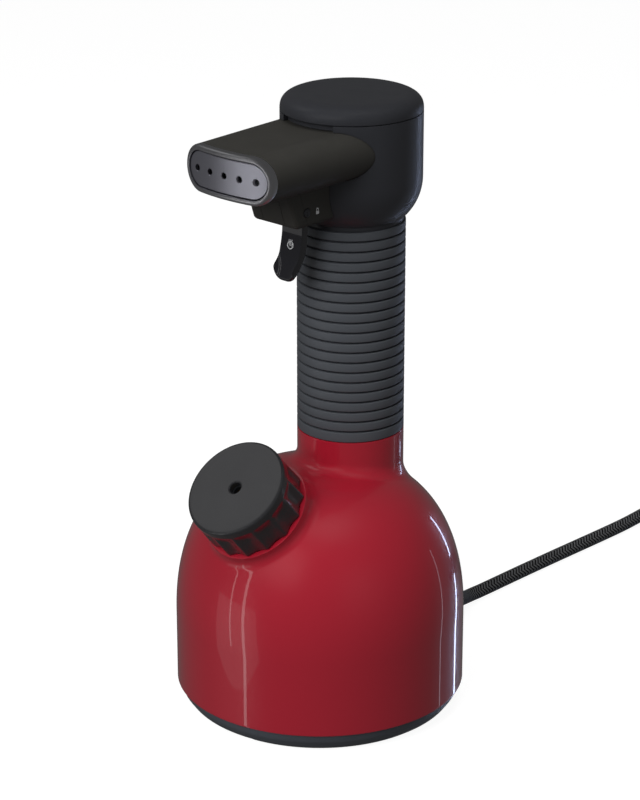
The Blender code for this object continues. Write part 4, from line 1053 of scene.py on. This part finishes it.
def coil_route():
    """Turns of cord round the coil's middle: out to in on the floor, then in to out on top."""
    low, high = 0.0047, 0.0118
    turns = [(360, [(0.0455, 0.0385, 240, 360)], low, low), (360, [(0.0385, 0.0315, 240, 360)], low, low),
             (360, [], low, high), (360, [(0.0315, 0.0385, 0, 120)], high, high),
             (360, [(0.0385, 0.0455, 0, 120)], high, high), (110, [(0.0455, 0.0528, 0, 110)], high, high)]
    radius, passed, points = 0.0455, 0.0, []
    for sweep, shifts, start_z, end_z in turns:
        base_r = radius
        for k in range(0, sweep, 5):
            radius = base_r
            for r0, r1, begin, stop in shifts:
                radius = r0 + (r1 - r0) * smoothstep((k - begin) / (stop - begin))
            z = start_z + (end_z - start_z) * smoothstep((k - 120) / 120)
            angle = math.radians(180 - passed - k)
            points.append(Vector((COIL_CENTRE.x + radius * math.cos(angle),
                                  COIL_CENTRE.y + radius * math.sin(angle), z)))
        for r0, r1, begin, stop in shifts:
            radius = r1
        passed += sweep
    return points


def evenly(points, step):
    """The same route with points at an even spacing."""
    run = [0.0]
    for a, b in zip(points, points[1:]):
        run.append(run[-1] + (b - a).length)
    count = max(2, round(run[-1] / step))
    made, i = [], 0
    for k in range(count + 1):
        want = run[-1] * k / count
        while i < len(run) - 2 and run[i + 1] < want:
            i += 1
        t = (want - run[i]) / max(run[i + 1] - run[i], 1e-9)
        made.append(points[i].lerp(points[i + 1], min(1.0, t)))
    return made


def cord_route():
    """From inside the boot, down to the floor, away behind, round the coil and out to the plug."""
    shift = Vector((0.0, BODY_Y + 0.003, 0.0))
    seen = [(0.0, 0.0992, 0.0140), (-0.0005, 0.1030, 0.0123), (-0.0032, 0.1090, 0.0097),
            (-0.0061, 0.1145, 0.0075), (-0.0084, 0.1200, 0.0057), (-0.0099, 0.1260, 0.0045),
            (-0.0105, 0.1330, 0.0038), (-0.0105, 0.1450, 0.0036), (-0.0102, 0.1650, 0.0036),
            (-0.0096, 0.1900, 0.0036), (-0.0088, 0.2150, 0.0036), (-0.0080, 0.2400, 0.0036),
            (-0.0078, 0.2600, 0.0036), (-0.0085, 0.2850, 0.0040)]
    tail = [(0.0648, 0.3675, 0.0106), (0.0752, 0.3612, 0.0082), (0.0842, 0.3530, 0.0060),
            (0.0912, 0.3435, 0.0064), (0.0955, 0.3330, 0.0086), (0.0976, 0.3240, 0.0103),
            (0.0980, 0.3145, 0.0108), (0.0980, 0.3080, 0.0108)]
    inside = [boot_point(along)[0] for along in (0.0, 0.008, 0.016, 0.024)]
    return evenly([Vector(p) for p in smooth_line(
        inside + [Vector(p) + shift for p in seen] + coil_route() + [Vector(p) + shift for p in tail], 8)],
        0.0011)


def cord(braided, pvc, metal):
    """The braided lead in one length, with its boot, the tie round its coil and its plug."""
    points = cord_route()
    lead = tube("braided_cord", points, CORD_R, braided, sides=28, uv=True)
    stands_for(lead, "braided_cotton", "power_cord", "power_cord_coil", "power_cord_tail")
    guard = boot(pvc)
    band = coil_tie(pvc)
    head = plug(pvc)
    pins = [plug_pin("plug_pin_left", -PIN_X, metal), plug_pin("plug_pin_right", PIN_X, metal)]
    return lead


def boxy(a, power):
    """A point of a unit ring at an angle; powers under 1 square its corners."""
    return tuple(math.copysign(abs(c) ** power, c) for c in (math.cos(a), math.sin(a)))


def coil_tie(pvc):
    """A flat strap round the coil's section, on the side of the plug."""
    wide, high = (0.049 - 0.028) / 2 + 0.0010, (0.0153 - 0.0012) / 2 + 0.0003
    centre = Vector((COIL_CENTRE.x + 0.0385, COIL_CENTRE.y, (0.0012 + 0.0153) / 2))
    rings = []
    for a in circle(64):
        x, z = boxy(a, 0.45)
        inner = Vector((x * wide, 0, z * high))
        outer = Vector((x * (wide + 0.0009), 0, z * (high + 0.0009)))
        rings.append([centre + p + Vector((0, y, 0)) for p, y in
                      ((inner, -0.005), (outer, -0.005), (outer, 0.005), (inner, 0.005))])
    made = finish("coil_tie_strap", skin("tie", rings, loop=True), pvc, 30.0)
    stands_for(made, "dark_grey_moulding", "cord_tie")
    return made


PLUG_AT = Vector((0.0980, BODY_Y + 0.3165, 0.0108))
PLUG_FACE = PLUG_AT.y - 0.046


def plug(pvc):
    """A flat-faced two-pin mains plug, waisted where the cord goes in."""
    stations = smooth_line([(0.0, 0.0050), (0.004, 0.0055), (0.010, 0.0072), (0.016, 0.0124),
                            (0.024, 0.0166), (0.034, 0.0176), (0.0440, 0.0176), (0.0452, 0.0173),
                            (0.046, 0.0166)], 4)
    rings = []
    for along, half_w in stations:
        half_h = 0.0050 + (half_w - 0.0050) * 0.445
        rings.append([PLUG_AT + Vector((x * half_w, -along, z * half_h))
                      for x, z in (boxy(a, 0.7) for a in circle(64))])
    face = PLUG_FACE - PLUG_AT.y
    cutters = [bar(PLUG_AT + Vector((x, face + 0.008, 0)), PLUG_AT + Vector((x, face - 0.002, 0)),
                   0.0027, 32) for x in (-PIN_X, PIN_X)]
    cutters.append(bar(PLUG_AT + Vector((0, 0.002, 0)), PLUG_AT - Vector((0, 0.009, 0)), 0.0038, 32))
    mesh = trimmed("plug", skin("plug", rings), cutters=cutters)
    made = finish("mains_plug_moulded", mesh, pvc, 35.0)
    stands_for(made, "dark_grey_moulding", "plug_body")
    return made


def plug_pin(name, x, metal):
    """A round pin with a domed end, set into the plug's face."""
    outline = rounded([(0.0001, -0.0190, 0.0), (0.0024, -0.0190, 0.0012), (0.0024, 0.0075, 0.0),
                       (0.0001, 0.0075, 0.0)], 5)
    made = turned(name + "_turned", outline, metal, (0, 0, 0), steps=32)
    made.data.transform(Matrix.Translation((PLUG_AT.x + x, PLUG_FACE, PLUG_AT.z))
                        @ Matrix.Rotation(-math.pi / 2, 4, "X"))
    stands_for(made, "satin_metal", name)
    return made


# ---------------------------------------------------------------- pieces inside

def valve_spring(steel):
    """A wound return spring round the valve's stem, as tall as the room it has."""
    low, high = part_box("valve_spring")
    wire, turns = 0.0003, 5
    centre = (low + high) / 2
    mean = (high.x - low.x) / 2 - wire
    points = []
    for k in range(turns * 24 + 1):
        a, t = 2 * math.pi * k / 24, k / (turns * 24)
        points.append((centre.x + mean * math.cos(a), centre.y + mean * math.sin(a),
                       low.z + wire + (high.z - low.z - 2 * wire) * t))
    made = tube("valve_spring_wound", points, wire, steel, sides=10,
                body=frame["nodes"]["valve_spring"]["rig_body"])
    stands_for(made, "stainless_steel", "valve_spring")
    return made


def inside(use):
    """The pieces the CAD shapes already describe fully keep their meshes and get finishes."""
    groups = {
        "steel": ["boiler_tank", "valve_stem", "heating_element", "thermostat"],
        "brass": ["filler_neck", "steam_outlet_union", "steam_valve_body", "thermal_fuse"],
        "silicone": ["steam_tube"],
        "pvc": ["boiler_cradle", "terminal_block", "cord_clamp", "cap_threaded_plug", "steam_chamber",
                "nozzle_pipe"],
        "rubber": ["cap_seal"],
        "brown": ["lead_wire_live"],
        "blue": ["lead_wire_neutral"],
        "braid": ["cord_inner_end"],
    }
    for short, names in groups.items():
        for name in names:
            mesh = frame["nodes"][name].data
            mesh.materials.clear()
            mesh.materials.append(use[short])


# ---------------------------------------------------------------- the whole steamer

camera()
use = finishes()
cord(use["braid"], use["pvc"], use["pin"])
studio()
body_shell(use["red"])
base(use["base"], use["rubber"], use["steel"])
cap(use["gloss"], use["brass"])
grip(use["grip"], use["satin"])
head(use["satin"])
lid(use["satin"])
nozzle(use["matt"], use["bezel"], use["plate"], use["pvc"])
housing(use["matt"], use["satin"], use["ink"])
trigger(use["mirror"], use["ink"], use["steel"])
spring = valve_spring(use["steel"])
inside(use)
for piece in list(bpy.data.objects):
    if "rides" in piece:
        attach(piece, piece["rides"])
        del piece["rides"]
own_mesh(spring)
